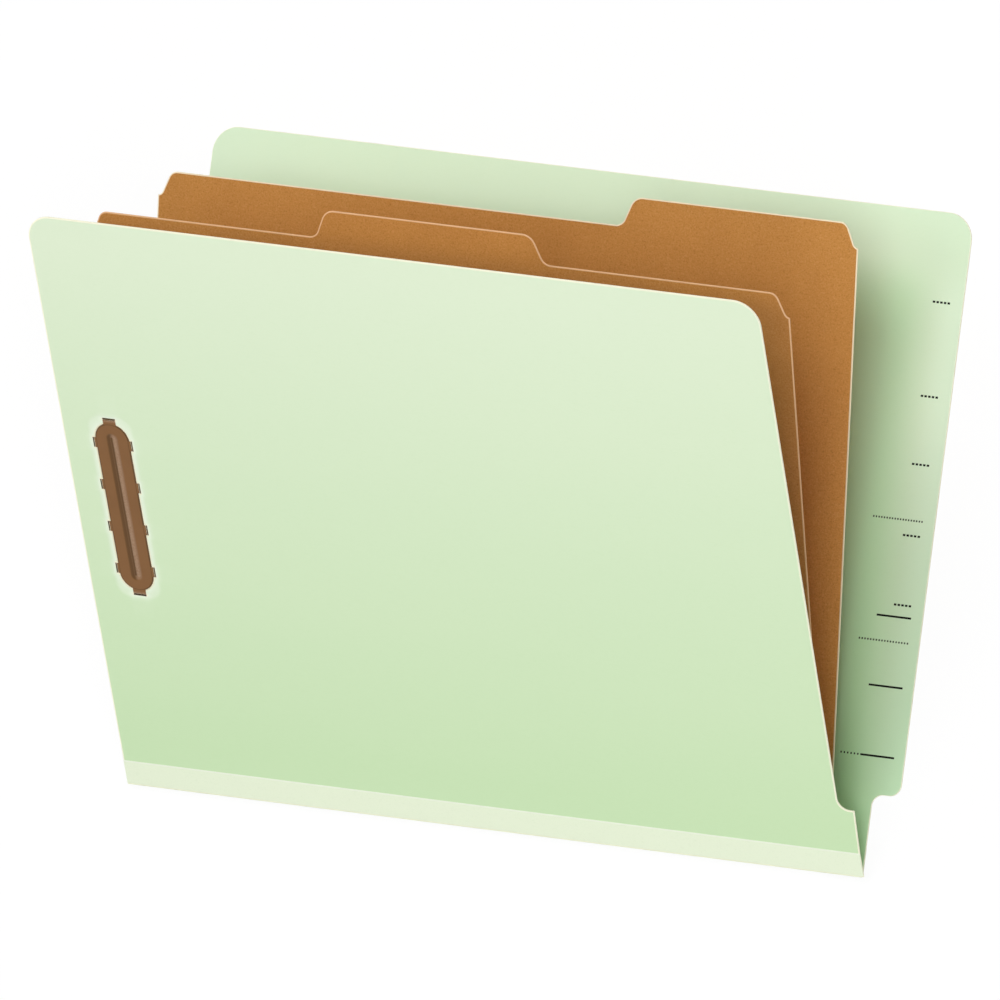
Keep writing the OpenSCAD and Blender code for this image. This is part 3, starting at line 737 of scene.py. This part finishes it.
backW = (backHigh.x - backLow.x) / mm
coverH = (backHigh.y - backLow.y) / mm
spineW, tapeH = leafBox("front_tape", "front_cover")[1][:2]
cover = dict(
    frontSetBack=4.8, flare=2.5, shoulderFlare=0.7, spineOver=0.9, backUnder=1.0, spineFoot=-0.28,
    notchH=27.8, notchR=4.5, tabH=29.3, tabHollowR=4.3, tabCornerR=4.5, cornerR=10.0, soft=0.14,
)
# the front cover's spine end stands a little beyond the back cover's
frontW = spineW - cover["frontSetBack"]
frontSpineW = spineW + cover["spineOver"]
backSpineW = spineW - cover["backUnder"]
frontOutline = [
    (0, cover["spineFoot"], 0), (frontSpineW, cover["spineFoot"], 0), (frontSpineW, tapeH, 0),
    (frontSpineW + cover["shoulderFlare"], cover["notchH"], 0), (frontW, cover["notchH"], cover["notchR"]),
    (frontW + cover["flare"], coverH, cover["cornerR"]), (0, coverH, cover["cornerR"]),
]
backOutline = [
    (0, 0, 0), (backSpineW, 0, 0), (backSpineW, cover["tabH"], cover["tabHollowR"]),
    (backW, cover["tabH"], cover["tabCornerR"]), (backW, coverH, cover["cornerR"]),
    (0, coverH, cover["cornerR"]),
]
pocketLook = dict(
    relief=pocketRelief, pressed=pocketTint, fine=[pocketBox()], rows=seatRows(), slots=slotRings(),
    slotDepth=fastener["slotDepth"], soft=cover["soft"],
)
addBoard("front_cover_board", "front_cover", frontOutline, coverT, frontBoard, "pressboard", "front_cover",
         **pocketLook)
addBoard("back_cover_board", "back_cover", backOutline, coverT, backBoard, "pressboard", "back_cover",
         reliefSide=-1, **pocketLook)
print("covers made")

divider = dict(
    tabH=11.0, tabW=98.8, frontTabX=90.8, slopeAngle=67.0, footR=4.0, topR=5.4,
    ogeeH=9.1, hollowAt=(1.4, 8.85), roundAt=5.15, ogeeHollowR=2.4, ogeeRoundR=3.8, spineFoot=-0.17, soft=0.1,
)


def ogeeCorners(x, h, side):
    # a top corner from the side edge to the top edge: a sharp foot, a small hollow, a slope and a round
    d = divider
    return [(x, h - d["ogeeH"], 0), (x - side * d["hollowAt"][0], h - d["hollowAt"][1], d["ogeeHollowR"]),
            (x - side * d["roundAt"], h, d["ogeeRoundR"])]


def slopeCorners(x, h, side):
    # foot and top of a tab's slope, where x is the start of its foot
    d = divider
    start = x + side * d["footR"] * np.tan(np.radians(d["slopeAngle"] / 2))
    rise = d["tabH"] / np.tan(np.radians(d["slopeAngle"]))
    return [(start, h, d["footR"]), (start + side * rise, h + d["tabH"], d["topR"])]


def dividerOutline(node, tabAtEnd):
    # anticlockwise from the foot at the left; the tab is at the right end, or in the middle
    low, high = leafBox(node, node)
    left, right, tabTop = low[0], high[0], high[1]
    body = tabTop - divider["tabH"]
    corners = [(left, divider["spineFoot"], 0), (right, divider["spineFoot"], 0)]
    corners += ogeeCorners(right, tabTop if tabAtEnd else body, 1)
    tabStart = right - divider["tabW"] if tabAtEnd else left + divider["frontTabX"]
    if not tabAtEnd:
        corners += slopeCorners(tabStart + divider["tabW"], body, -1)
    corners += slopeCorners(tabStart, body, 1)[::-1]
    corners += ogeeCorners(left, body, -1)[::-1]
    return corners


for node, tabAtEnd, finish in (("rear_divider", True, rearKraft), ("front_divider", False, frontKraft)):
    outline = dividerOutline(node, tabAtEnd)
    addBoard(node + "_board", node, outline, leafThick[node], finish, "kraft", node, soft=divider["soft"])
print("dividers made")


# Bars: a bevelled oblong section carried along a path of (distance, height)
def barGrid(path, width, thick, soft=0.06, thinnest=0.005):
    ahead = np.gradient(path, axis=0)
    ahead /= np.linalg.norm(ahead, axis=1)[:, None]
    normal = np.stack([-ahead[:, 1], ahead[:, 0]], 1)
    # eight points round the section: both ends of each side, drawn in by the soft edge
    side = np.array([-1, -1, 1, 1, 1, 1, -1, -1])
    flank = np.array([0, soft, soft, 0, 0, soft, soft, 0])
    halfT = np.broadcast_to(thick, len(path))[:, None] / 2
    halfW = np.broadcast_to(width, len(path))[:, None] / 2
    rise = np.array([-1, -1, -1, -1, 1, 1, 1, 1]) * (halfT - (soft - flank))
    across = side * np.maximum(halfW - flank, thinnest)
    spots = path[:, None] + normal[:, None] * rise[..., None]
    grid = np.concatenate([spots[..., :1], across[..., None], spots[..., 1:]], -1).reshape(-1, 3)
    count = len(side)
    faces = bandFaces(len(path), count).tolist()
    last = (len(path) - 1) * count
    return grid, faces + [list(range(count))[::-1], list(range(last, last + count))]


def joinParts(parts):
    # several (points, faces) as one
    verts, faces, start = [], [], 0
    for partVerts, partFaces in parts:
        verts.append(partVerts)
        faces += [[i + start for i in f] for f in partFaces]
        start += len(partVerts)
    return np.concatenate(verts), faces


def toothBar(spot, path, thick, top):
    # the path runs away from the plate and down through the board; top is the outer face's place
    x, h, (dx, dh), width, reach, inwards = spot
    grid, faces = barGrid(path, width, thick)
    d, across, depth = grid.T
    return np.column_stack([x + d * dx - across * dh, h + d * dh + across * dx, top - depth]), faces


# points along each stretch of the plate's outline and of its section
plateGrid = dict(straight=30, bend=29, groove=10, flat=5, rim=6)
# painted shade and painted highlight on the plate: shares, gains across the groove, and lengths in
# millimetres before a tooth's bend
paint = dict(
    flankHighlight=0.36, grooveShadeGain=4, leanGain=1.5, highlightGain=2.2,
    toothShade=0.6, shadeFade=0.15, endHighlight=0.34, endHighlightLen=1.35, highlightFade=0.3,
)


def plateParts():
    # rho runs from the core line to the rim, then under the rim and back
    # z = -depth (1 - (hypot(g, k) - k) / (hypot(1, k) - k)) with g = rho / half the groove's width, a soft V
    f = fastener
    g = plateGrid
    core = f["plateLen"] - f["plateW"]
    grooveCore = core + 2 * f["grooveEnd"]
    straight = np.linspace(-0.5, 0.5, g["straight"])[:-1] * core
    bend = np.linspace(0, np.pi, g["bend"])[:-1]
    angle = np.concatenate([straight * 0, bend, straight * 0 + np.pi, bend + np.pi])
    along = np.concatenate([straight, bend * 0 + core / 2, -straight, bend * 0 - core / 2])
    radius = f["plateW"] / 2
    halfGroove = f["grooveW"] / 2
    flatRho = np.linspace(halfGroove + f["grooveGap"], radius - f["rimFade"], g["flat"])
    rimStart = [radius - f["rimShade"], radius - f["rim"]]
    rho = np.concatenate([np.linspace(0, halfGroove, g["groove"]), flatRho, rimStart])
    groove = np.clip(rho / halfGroove, 0, 1)
    k = f["grooveSoft"]
    top = -f["grooveDepth"] * (1 - (np.hypot(groove, k) - k) / (np.hypot(1, k) - k))
    turn = np.linspace(0, np.pi / 2, g["rim"])[1:]
    rimRho = radius - f["rim"] + f["rim"] * np.sin(turn)
    rimTop = -f["crown"] - f["rim"] * (1 - np.cos(turn)) + f["crown"] * np.cos(turn)
    under = np.array([radius - f["rimLip"], radius * 0.5, halfGroove, 0])
    underZ = -f["plateT"] - np.array([f["rimLip"], 0, 0, f["grooveDepth"] * f["grooveEcho"]])
    allRho = np.concatenate([rho, rimRho, under])
    allZ = np.concatenate([top, rimTop, underZ])
    # the groove's core line is longer than the plate's, and the rows between ease from one to the other
    ease = np.clip((allRho - halfGroove) / (radius - f["rim"] - halfGroove), 0, 1)
    stretch = grooveCore / core + (1 - grooveCore / core) * ease
    # its lowest line lies a little to the left
    shift = f["grooveShift"] * np.clip(1 - allRho / halfGroove, 0, 1)
    x = fastenerX - shift[:, None] + allRho[:, None] * np.cos(angle)
    h = fastenerH + along * stretch[:, None] + allRho[:, None] * np.sin(angle)
    z = np.broadcast_to(allZ[:, None], x.shape)
    verts = np.stack([x, h, z], -1).reshape(-1, 3)
    # painted shade on the groove's flank towards the folder's left edge and round the rim, and painted
    # highlight on the other flank
    onTop = np.arange(len(allRho)) < len(rho)
    inGroove = np.where(onTop, np.clip(paint["grooveShadeGain"] * (1 - allRho / halfGroove), 0, 1), 0)[:, None]
    lean = np.clip(0.5 + paint["leanGain"] * allRho[:, None] / halfGroove * np.cos(angle), 0, 1)
    highlightRamp = np.clip(paint["highlightGain"] * (1 - allRho / halfGroove), 0, 1)[:, None]
    atRim = np.where(onTop & (allRho < radius - f["rimShade"]), 0, 1)[:, None]
    plateShade = (inGroove * (1 - lean) + atRim).ravel()
    plateHighlight = (paint["flankHighlight"] * inGroove * highlightRamp * lean).ravel()
    return verts, bandFaces(len(allRho), len(angle)).tolist(), plateShade, plateHighlight


# a tooth's middle line: centre is its distance from the outer face and from the tooth's end
tooth = dict(
    root=0.9, shoulder=0.45, shoulderDrop=0.12, centre=0.17, bendR=0.5, foldR=0.3, chord=0.08, longest=0.8,
)


def toothPath(reach, through, fold):
    # out along the plate, round the bend, through the board, then folded back or away
    t = tooth
    end = reach - t["centre"]
    corners = [(-t["root"], t["centre"], 0), (reach - t["shoulder"], t["shoulderDrop"], t["bendR"]),
               (end, through, t["foldR"]), (end + fold, through, 0)]
    return roundPath(corners, closed=False, chord=t["chord"], longest=t["longest"])


def addPlate(name, leaf, side, node):
    # side 1 has the outer face on the leaf's front, -1 on its rear
    f = fastener
    top = coverT / 2 - f["plateSink"]
    verts, faces, plateShade, plateHighlight = plateParts()
    verts[:, 2] += top
    parts, plateShades, plateHighlights = [(verts, faces)], [plateShade], [plateHighlight]
    for spot in toothSpots():
        # side teeth fold back over the strip, end teeth fold away on the board
        x, h, (dx, dh), width, reach, inwards = spot
        through = coverT + (f["stripT"] if inwards else 0) + tooth["centre"]
        path = toothPath(reach, through, -f["toothFold"] if inwards else f["toothFold"])
        verts, faces = toothBar(spot, path, f["toothT"], top)
        parts.append((verts, faces))
        # each tooth has painted shade from just before its bend, and an end tooth a painted highlight where
        # it meets that shade
        away = (verts[:, 0] - x) * dx + (verts[:, 1] - h) * dh - reach
        dark = np.clip((away + paint["toothShade"]) / paint["shadeFade"], 0, 1)
        highlightRamp = np.clip((away + paint["endHighlightLen"]) / paint["highlightFade"], 0, 1)
        plateShades.append(dark)
        plateHighlights.append((0 if inwards else paint["endHighlight"]) * highlightRamp * (1 - dark))
    verts, faces = joinParts(parts)
    verts[:, 2] *= side
    # bend is the share of painted highlight, the other layer that of painted shade
    layers = dict(bend=np.concatenate(plateHighlights), plateShade=np.concatenate(plateShades))
    addPiece(name, toWorld(leaf, verts), faces, brownEnamel, leaf, [node], layers=layers)


addPlate("front_plate_pressed", "front_cover", 1, "front_plate")
addPlate("back_plate_pressed", "back_cover", -1, "back_plate")
print("plates made")

# Strips on the inner faces, their lugs and the bendable prongs
stripFill = dict(soft=0.1, bands=(0.5,), step=5.0)
prongs = dict(
    width=4.0, thick=0.35, soft=0.1, tipTaper=4.0, tipR=1.2, rootCut=0.05, bladeCut=0.4, bladeCuts=14,
    taperCuts=6, tipCuts=9, rootLeast=0.3, tipLeast=0.0004,
    lugW=0.6, lugT=0.22, lugSoft=0.05, lugGap=0.42, lugCuts=9, lugSpread=1.25, lugSink=0.08, lugRise=0.3,
)


def lugBar(x, h, side, face):
    # a loop of the strip beside a prong's root: half an ellipse that starts and ends under the strip's face
    p = prongs
    t = np.linspace(0, np.pi, p["lugCuts"])
    bottom, top = face - p["lugSink"], face + p["lugRise"]
    reach = (top - bottom) * p["lugSpread"]
    path = np.stack([-reach * np.cos(t), bottom + (top - bottom) * np.sin(t)], 1)
    grid, faces = barGrid(path, p["lugW"], p["lugT"], p["lugSoft"])
    return np.column_stack([x + grid[:, 1], h + grid[:, 0], side * grid[:, 2]]), faces


def addStrip(name, leaf, side, node, roots, clinched):
    # side 1 lies on the leaf's front face, -1 on its rear face
    f = fastener
    face = leafThick[leaf] / 2
    top = face + f["stripT"]
    halfW = (f["clinchedW"] if clinched else f["stripW"]) / 2
    corners = boxCorners(halfW, f["stripLen"] / 2, f["stripR"])
    verts, faces = boardParts(corners, f["stripT"], **stripFill)[:2]
    verts[:, 2] += side * (face + f["stripT"] / 2 + f["stripLift"])
    parts = [(verts, faces)]
    for root in roots:
        low, high = leafBox(root, leaf)
        h = low[1] + prongs["thick"] / 2 if root.endswith("lower") else high[1] - prongs["thick"] / 2
        reach = prongs["width"] / 2 + prongs["lugGap"]
        parts += [lugBar(fastenerX + s * reach, h, side, top) for s in (-1, 1)]
    if clinched:
        through = 2 * face + 2 * f["stripT"] + tooth["centre"]
        for spot in toothSpots()[:2 * f["sideTeeth"]]:
            verts, faces = toothBar(spot, toothPath(spot[4], through, -f["toothFold"]), f["toothT"], top)
            parts.append((verts * [1, 1, side], faces))
    verts, faces = joinParts(parts)
    addPiece(name, toWorld(leaf, verts), faces, brightSteel, leaf, [node])


def addProng(node, leaf):
    # a flat blade of half width w: straight, then tapering, then w sqrt(1 - t^2) for t from 0 to 1
    p = prongs
    low, high = leafBox(node, leaf)
    length = high[1] - low[1]
    root = p["thick"] / 2
    taperStart = length - p["tipTaper"] - p["tipR"]
    tipStart = length - p["tipR"]
    tip = np.sin(np.linspace(0, np.pi / 2, p["tipCuts"])[1:])
    blade = np.linspace(p["bladeCut"], taperStart, p["bladeCuts"])
    taper = np.linspace(taperStart, tipStart, p["taperCuts"])[1:]
    s = np.concatenate([[0, p["rootCut"], root], blade, taper, length - p["tipR"] * (1 - tip)])
    share = np.clip((s - taperStart) / p["tipTaper"], 0, 1)
    half = p["width"] / 2 - (p["width"] / 2 - p["tipR"]) * share
    half *= np.sqrt(np.clip(1 - np.clip((s - tipStart) / p["tipR"], 0, 1) ** 2, p["tipLeast"], 1))
    # the root is half round: thickness sqrt(1 - (1 - s / r)^2)
    swell = np.sqrt(np.clip(1 - (1 - s / root) ** 2, p["rootLeast"], 1))
    thick = np.where(s < root, p["thick"] * swell, p["thick"])
    grid, faces = barGrid(np.stack([s, s * 0], 1), 2 * half, thick, p["soft"])
    along, across, rise = grid.T
    h = low[1] + along if node.endswith("lower") else high[1] - along
    verts = np.column_stack([(low[0] + high[0]) / 2 + across, h, (low[2] + high[2]) / 2 + rise])
    addPiece(node + "_blade", toWorld(leaf, verts), faces, brightSteel, node, [node])


# start of the names, leaf, side of the leaf, and whether teeth clinch the strip
stripPlaces = (
    ("back", "back_cover", 1, False), ("front", "front_cover", -1, False),
    ("rear_divider_face", "rear_divider", 1, True), ("rear_divider_rear", "rear_divider", -1, False),
    ("front_divider_face", "front_divider", 1, True), ("front_divider_rear", "front_divider", -1, False),
)
for stem, leaf, side, clinched in stripPlaces:
    roots = [stem + "_prong_" + end for end in ("lower", "upper")]
    addStrip(stem + "_strip_bar", leaf, side, stem + "_strip", roots, clinched)
    for root in roots:
        addProng(root, leaf)
print("strips and prongs made")

# Spine cloth: tapes on the covers, pleats in the gaps, and the bindings as they are in the solids
tape = dict(
    thick=0.08, soft=0.02, hemHighlight=0.45, foot=0.15, wrapOut=0.11, wrapR=0.1, wrapEnd=0.05,
    chord=0.05, longest=0.4,
)


def addTape(name, leaf, side, node, wraps, end):
    # a thin bar as wide as the spine, down from the tape's top edge to its foot, or round the board's edge
    t = tape
    low, high = leafBox(node, leaf)
    high[0] = end
    top = coverT / 2 + t["thick"] / 2
    ends = [(t["foot"], top, 0)]
    if wraps:
        ends = [(-t["wrapOut"], top, t["wrapR"]), (-t["wrapOut"], -coverT / 2 + t["wrapEnd"], 0)]
    path = roundPath([(high[1], top, 0)] + ends, closed=False, chord=t["chord"], longest=t["longest"])
    grid, faces = barGrid(path, high[0] - low[0], t["thick"], t["soft"])
    verts = np.column_stack([grid[:, 1] + (low[0] + high[0]) / 2, grid[:, 0], side * grid[:, 2]])
    # the band along the tape's top edge that takes a painted highlight
    hemHighlight = (verts[:, 1] > high[1] - t["hemHighlight"]).astype(float)
    addPiece(name, toWorld(leaf, verts), faces, spineCloth, leaf, [node], layers=dict(hemHighlight=hemHighlight))


addTape("front_tape_cloth", "front_cover", 1, "front_tape", False, frontSpineW)
addTape("back_tape_cloth", "back_cover", -1, "back_tape", True, backSpineW)

pleat = dict(columns=72, rows=49, foot=0.6, end=0.22, base=0.012, rise=0.13, thick=0.06)


def addPleat(name, leaf, node):
    # u runs from the leaf to the binding, and the fold is at u = 1/2; the height is the inverse of a
    # smoothstep, 1/2 - sin(asin(1 - 2u) / 3)
    p = pleat
    low, high = leafBox(node, leaf)
    u, v = np.meshgrid(np.linspace(0, 1, p["rows"]), np.linspace(0, 1, p["columns"]), indexing="ij")
    depth = high[1]
    start = np.where(u < 0.5, p["foot"], p["end"])
    h = start + (1 - np.abs(2 * u - 1)) * (depth - start)
    rise = 0.5 - np.sin(np.arcsin(1 - 2 * u) / 3)
    base = leafThick[leaf] / 2 + p["base"]
    x = low[0] + v * (high[0] - low[0])
    verts = np.stack([x, h, base + p["rise"] * rise], -1).reshape(-1, 3)
    faces = bandFaces(p["rows"], p["columns"], closed=False)
    piece = addPiece(name, toWorld(leaf, verts), faces, spineCloth, None, [node])
    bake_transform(piece)
    skin = piece.modifiers.new("thickness", "SOLIDIFY")
    skin.thickness = p["thick"] * mm
    skin.offset = 0


addPleat("rear_pleat_cloth", "back_cover", "rear_gusset")
addPleat("middle_pleat_cloth", "rear_divider", "middle_gusset")
addPleat("front_pleat_cloth", "front_divider", "front_gusset")
for node in ("rear_divider_binding", "front_divider_binding", "front_cover_binding"):
    frame["nodes"][node].material_slots[0].material = spineCloth
print("spine cloth made")

# Ink guide marks on the inside of the end tab, (start, end, h) from the left edge and the spine
marks = dict(
    lines=[(292.5, 306.5, 93.9), (292.9, 306.7, 68.5), (293.1, 306.9, 43.1)],
    dots=[(286.0, 306.2, 129.1), (286.5, 306.6, 84.8), (285.0, 292.4, 43.1)],
    dashes=[(298.9, 305.9, h) for h in (208.6, 174.3, 149.5, 123.6, 98.3)],
    lineW=0.72, dotW=0.66, dotLen=0.56, dotPitch=1.06, dashW=0.76, dashLen=1.02, dashCount=5, thick=0.012,
)


def slabBox(low, high, bottom, top):
    # the eight corners and six faces of a flat box
    x0, y0, x1, y1 = *low, *high
    ring = np.array([(x0, y0), (x1, y0), (x1, y1), (x0, y1)])
    verts = np.concatenate([np.column_stack([ring, np.full(4, z)]) for z in (bottom, top)])
    return verts, [[3, 2, 1, 0], [4, 5, 6, 7], [0, 1, 5, 4], [1, 2, 6, 5], [2, 3, 7, 6], [3, 0, 4, 7]]


def addMarks():
    # each row is (start, end, h, width, count of marks, length of a mark)
    m = marks
    rows = [(a, b, h, m["lineW"], 1, b - a) for a, b, h in m["lines"]]
    rows += [(a, b, h, m["dotW"], int((b - a) / m["dotPitch"]), m["dotLen"]) for a, b, h in m["dots"]]
    rows += [(a, b, h, m["dashW"], m["dashCount"], m["dashLen"]) for a, b, h in m["dashes"]]
    parts = []
    for start, end, h, width, count, length in rows:
        for x in np.linspace(start, end - length, count):
            low, high = (x, h - width / 2), (x + length, h + width / 2)
            parts.append(slabBox(low, high, coverT / 2, coverT / 2 + m["thick"]))
    verts, faces = joinParts(parts)
    addPiece("tab_guide_marks", toWorld("back_cover", verts), faces, blackInk, "back_cover")


addMarks()
print("guide marks made")

# Stage, lights and camera
stage = dict(
    floor=(0.9, 0.9, 0.9, 1), floorRough=0.9, floorHalf=3.0, floorDrop=0.1, glow=1.02, glowShare=0.9,
    ambient=0.18, aim=(0, 0, 0.05), distance=2.0,
)
# tilt from straight up, turn from the tab's side, half angle filled, light on a surface that faces the lamp
lamps = dict(
    top=(30, 97, 16, 0.38), right=(23, 8, 18, 0.34), left=(24, 180, 13, 0.10), lowLeft=(78, 180, 13, 0.25),
    spine=(72, -68, 14, 0.28), sheen=(80, -140, 8, 0.06),
)


def shownRays(tree):
    # 1 for what the camera sees, directly, in a reflection or through something clear
    path = tree.nodes.new("ShaderNodeLightPath")
    shown = path.outputs["Is Camera Ray"]
    for kind in ("Glossy", "Transmission"):
        most = tree.nodes.new("ShaderNodeMath")
        most.operation = "MAXIMUM"
        tree.links.new(shown, most.inputs[0])
        tree.links.new(path.outputs["Is " + kind + " Ray"], most.inputs[1])
        shown = most.outputs["Value"]
    return shown


def addFloor():
    # white, and partly glowing where it is seen, so that only soft shadows show on it
    half = stage["floorHalf"]
    mesh = bpy.data.meshes.new("floor")
    z = cadLow.z - stage["floorDrop"] * mm
    corners = [(-half, -half, z), (half, -half, z), (half, half, z), (-half, half, z)]
    mesh.from_pydata(corners, [], [(0, 1, 2, 3)])
    floor = bpy.data.objects.new("floor", mesh)
    bpy.context.scene.collection.objects.link(floor)
    f = Finish("white_floor")
    f.surface(Base_Color=stage["floor"], Roughness=stage["floorRough"])
    glow = f.node("ShaderNodeEmission", Strength=stage["glow"])
    both = f.node("ShaderNodeMixShader")
    f.put(both.inputs[0], f.maths("MULTIPLY", shownRays(f.tree), stage["glowShare"]))
    f.put(both.inputs[1], f.bsdf.outputs["BSDF"])
    f.put(both.inputs[2], glow.outputs["Emission"])
    f.put(f.tree.nodes["Material Output"].inputs["Surface"], both.outputs["Shader"])
    mesh.materials.append(f.material)


def addWorld():
    # white where it is seen, and dimmer as a light
    world = bpy.data.worlds.new("studio")
    bpy.context.scene.world = world
    world.use_nodes = True
    tree = world.node_tree
    background = tree.nodes["Background"]
    background.inputs["Color"].default_value = (1, 1, 1, 1)
    seen = tree.nodes.new("ShaderNodeMapRange")
    seen.inputs["To Min"].default_value = stage["ambient"]
    seen.inputs["To Max"].default_value = 1.0
    tree.links.new(shownRays(tree), seen.inputs["Value"])
    tree.links.new(seen.outputs["Result"], background.inputs["Strength"])


def addLamp(name, tilt, turn, spread, light):
    # a disc of P watts at the distance d lights a facing surface by P / (pi d)^2
    tilt, turn, distance = np.radians(tilt), np.radians(turn), stage["distance"]
    away = Vector((np.sin(tilt) * np.cos(turn), np.sin(tilt) * np.sin(turn), np.cos(tilt)))
    data = bpy.data.lights.new(name, "AREA")
    data.shape = "DISK"
    data.size = 2 * distance * np.tan(np.radians(spread))
    data.energy = light * (np.pi * distance) ** 2
    lamp = bpy.data.objects.new(name, data)
    lamp.location = Vector(stage["aim"]) + away * distance
    lamp.rotation_mode = "QUATERNION"
    lamp.rotation_quaternion = away.to_track_quat("Z", "Y")
    bpy.context.scene.collection.objects.link(lamp)


# the camera's axes, its target with shifts in metres, and the pixels per metre there in a picture this wide
view = dict(
    right=(0.88343, 0.12746, -0.45089), up=(-0.10967, 0.99181, 0.06549), back=(0.45554, -0.0084, 0.89017),
    target=(0, 0, 0.060), toRight=0.008206, toDown=0.004135, pixelsPerMetre=2766.0, picture=1000,
    lens=1700.0, sensor=36.0, clip=(0.1, 100),
)


def addCamera():
    # a long lens along the photograph's viewing direction
    axes = [Vector(view[key]).normalized() for key in ("right", "up", "back")]
    target = Vector(view["target"]) + axes[0] * view["toRight"] - axes[1] * view["toDown"]
    distance = view["lens"] / view["sensor"] * view["picture"] / view["pixelsPerMetre"]
    data = bpy.data.cameras.new("camera")
    data.lens, data.sensor_width = view["lens"], view["sensor"]
    data.clip_start, data.clip_end = view["clip"]
    camera = bpy.data.objects.new("camera", data)
    turn = Matrix(axes).transposed().to_4x4()
    camera.matrix_world = Matrix.Translation(target + axes[2] * distance) @ turn
    bpy.context.scene.collection.objects.link(camera)
    bpy.context.scene.camera = camera


addFloor()
addWorld()
for lampName, values in lamps.items():
    addLamp(lampName, *values)
addCamera()
bpy.context.scene.view_settings.view_transform = "Standard"
print("stage set")
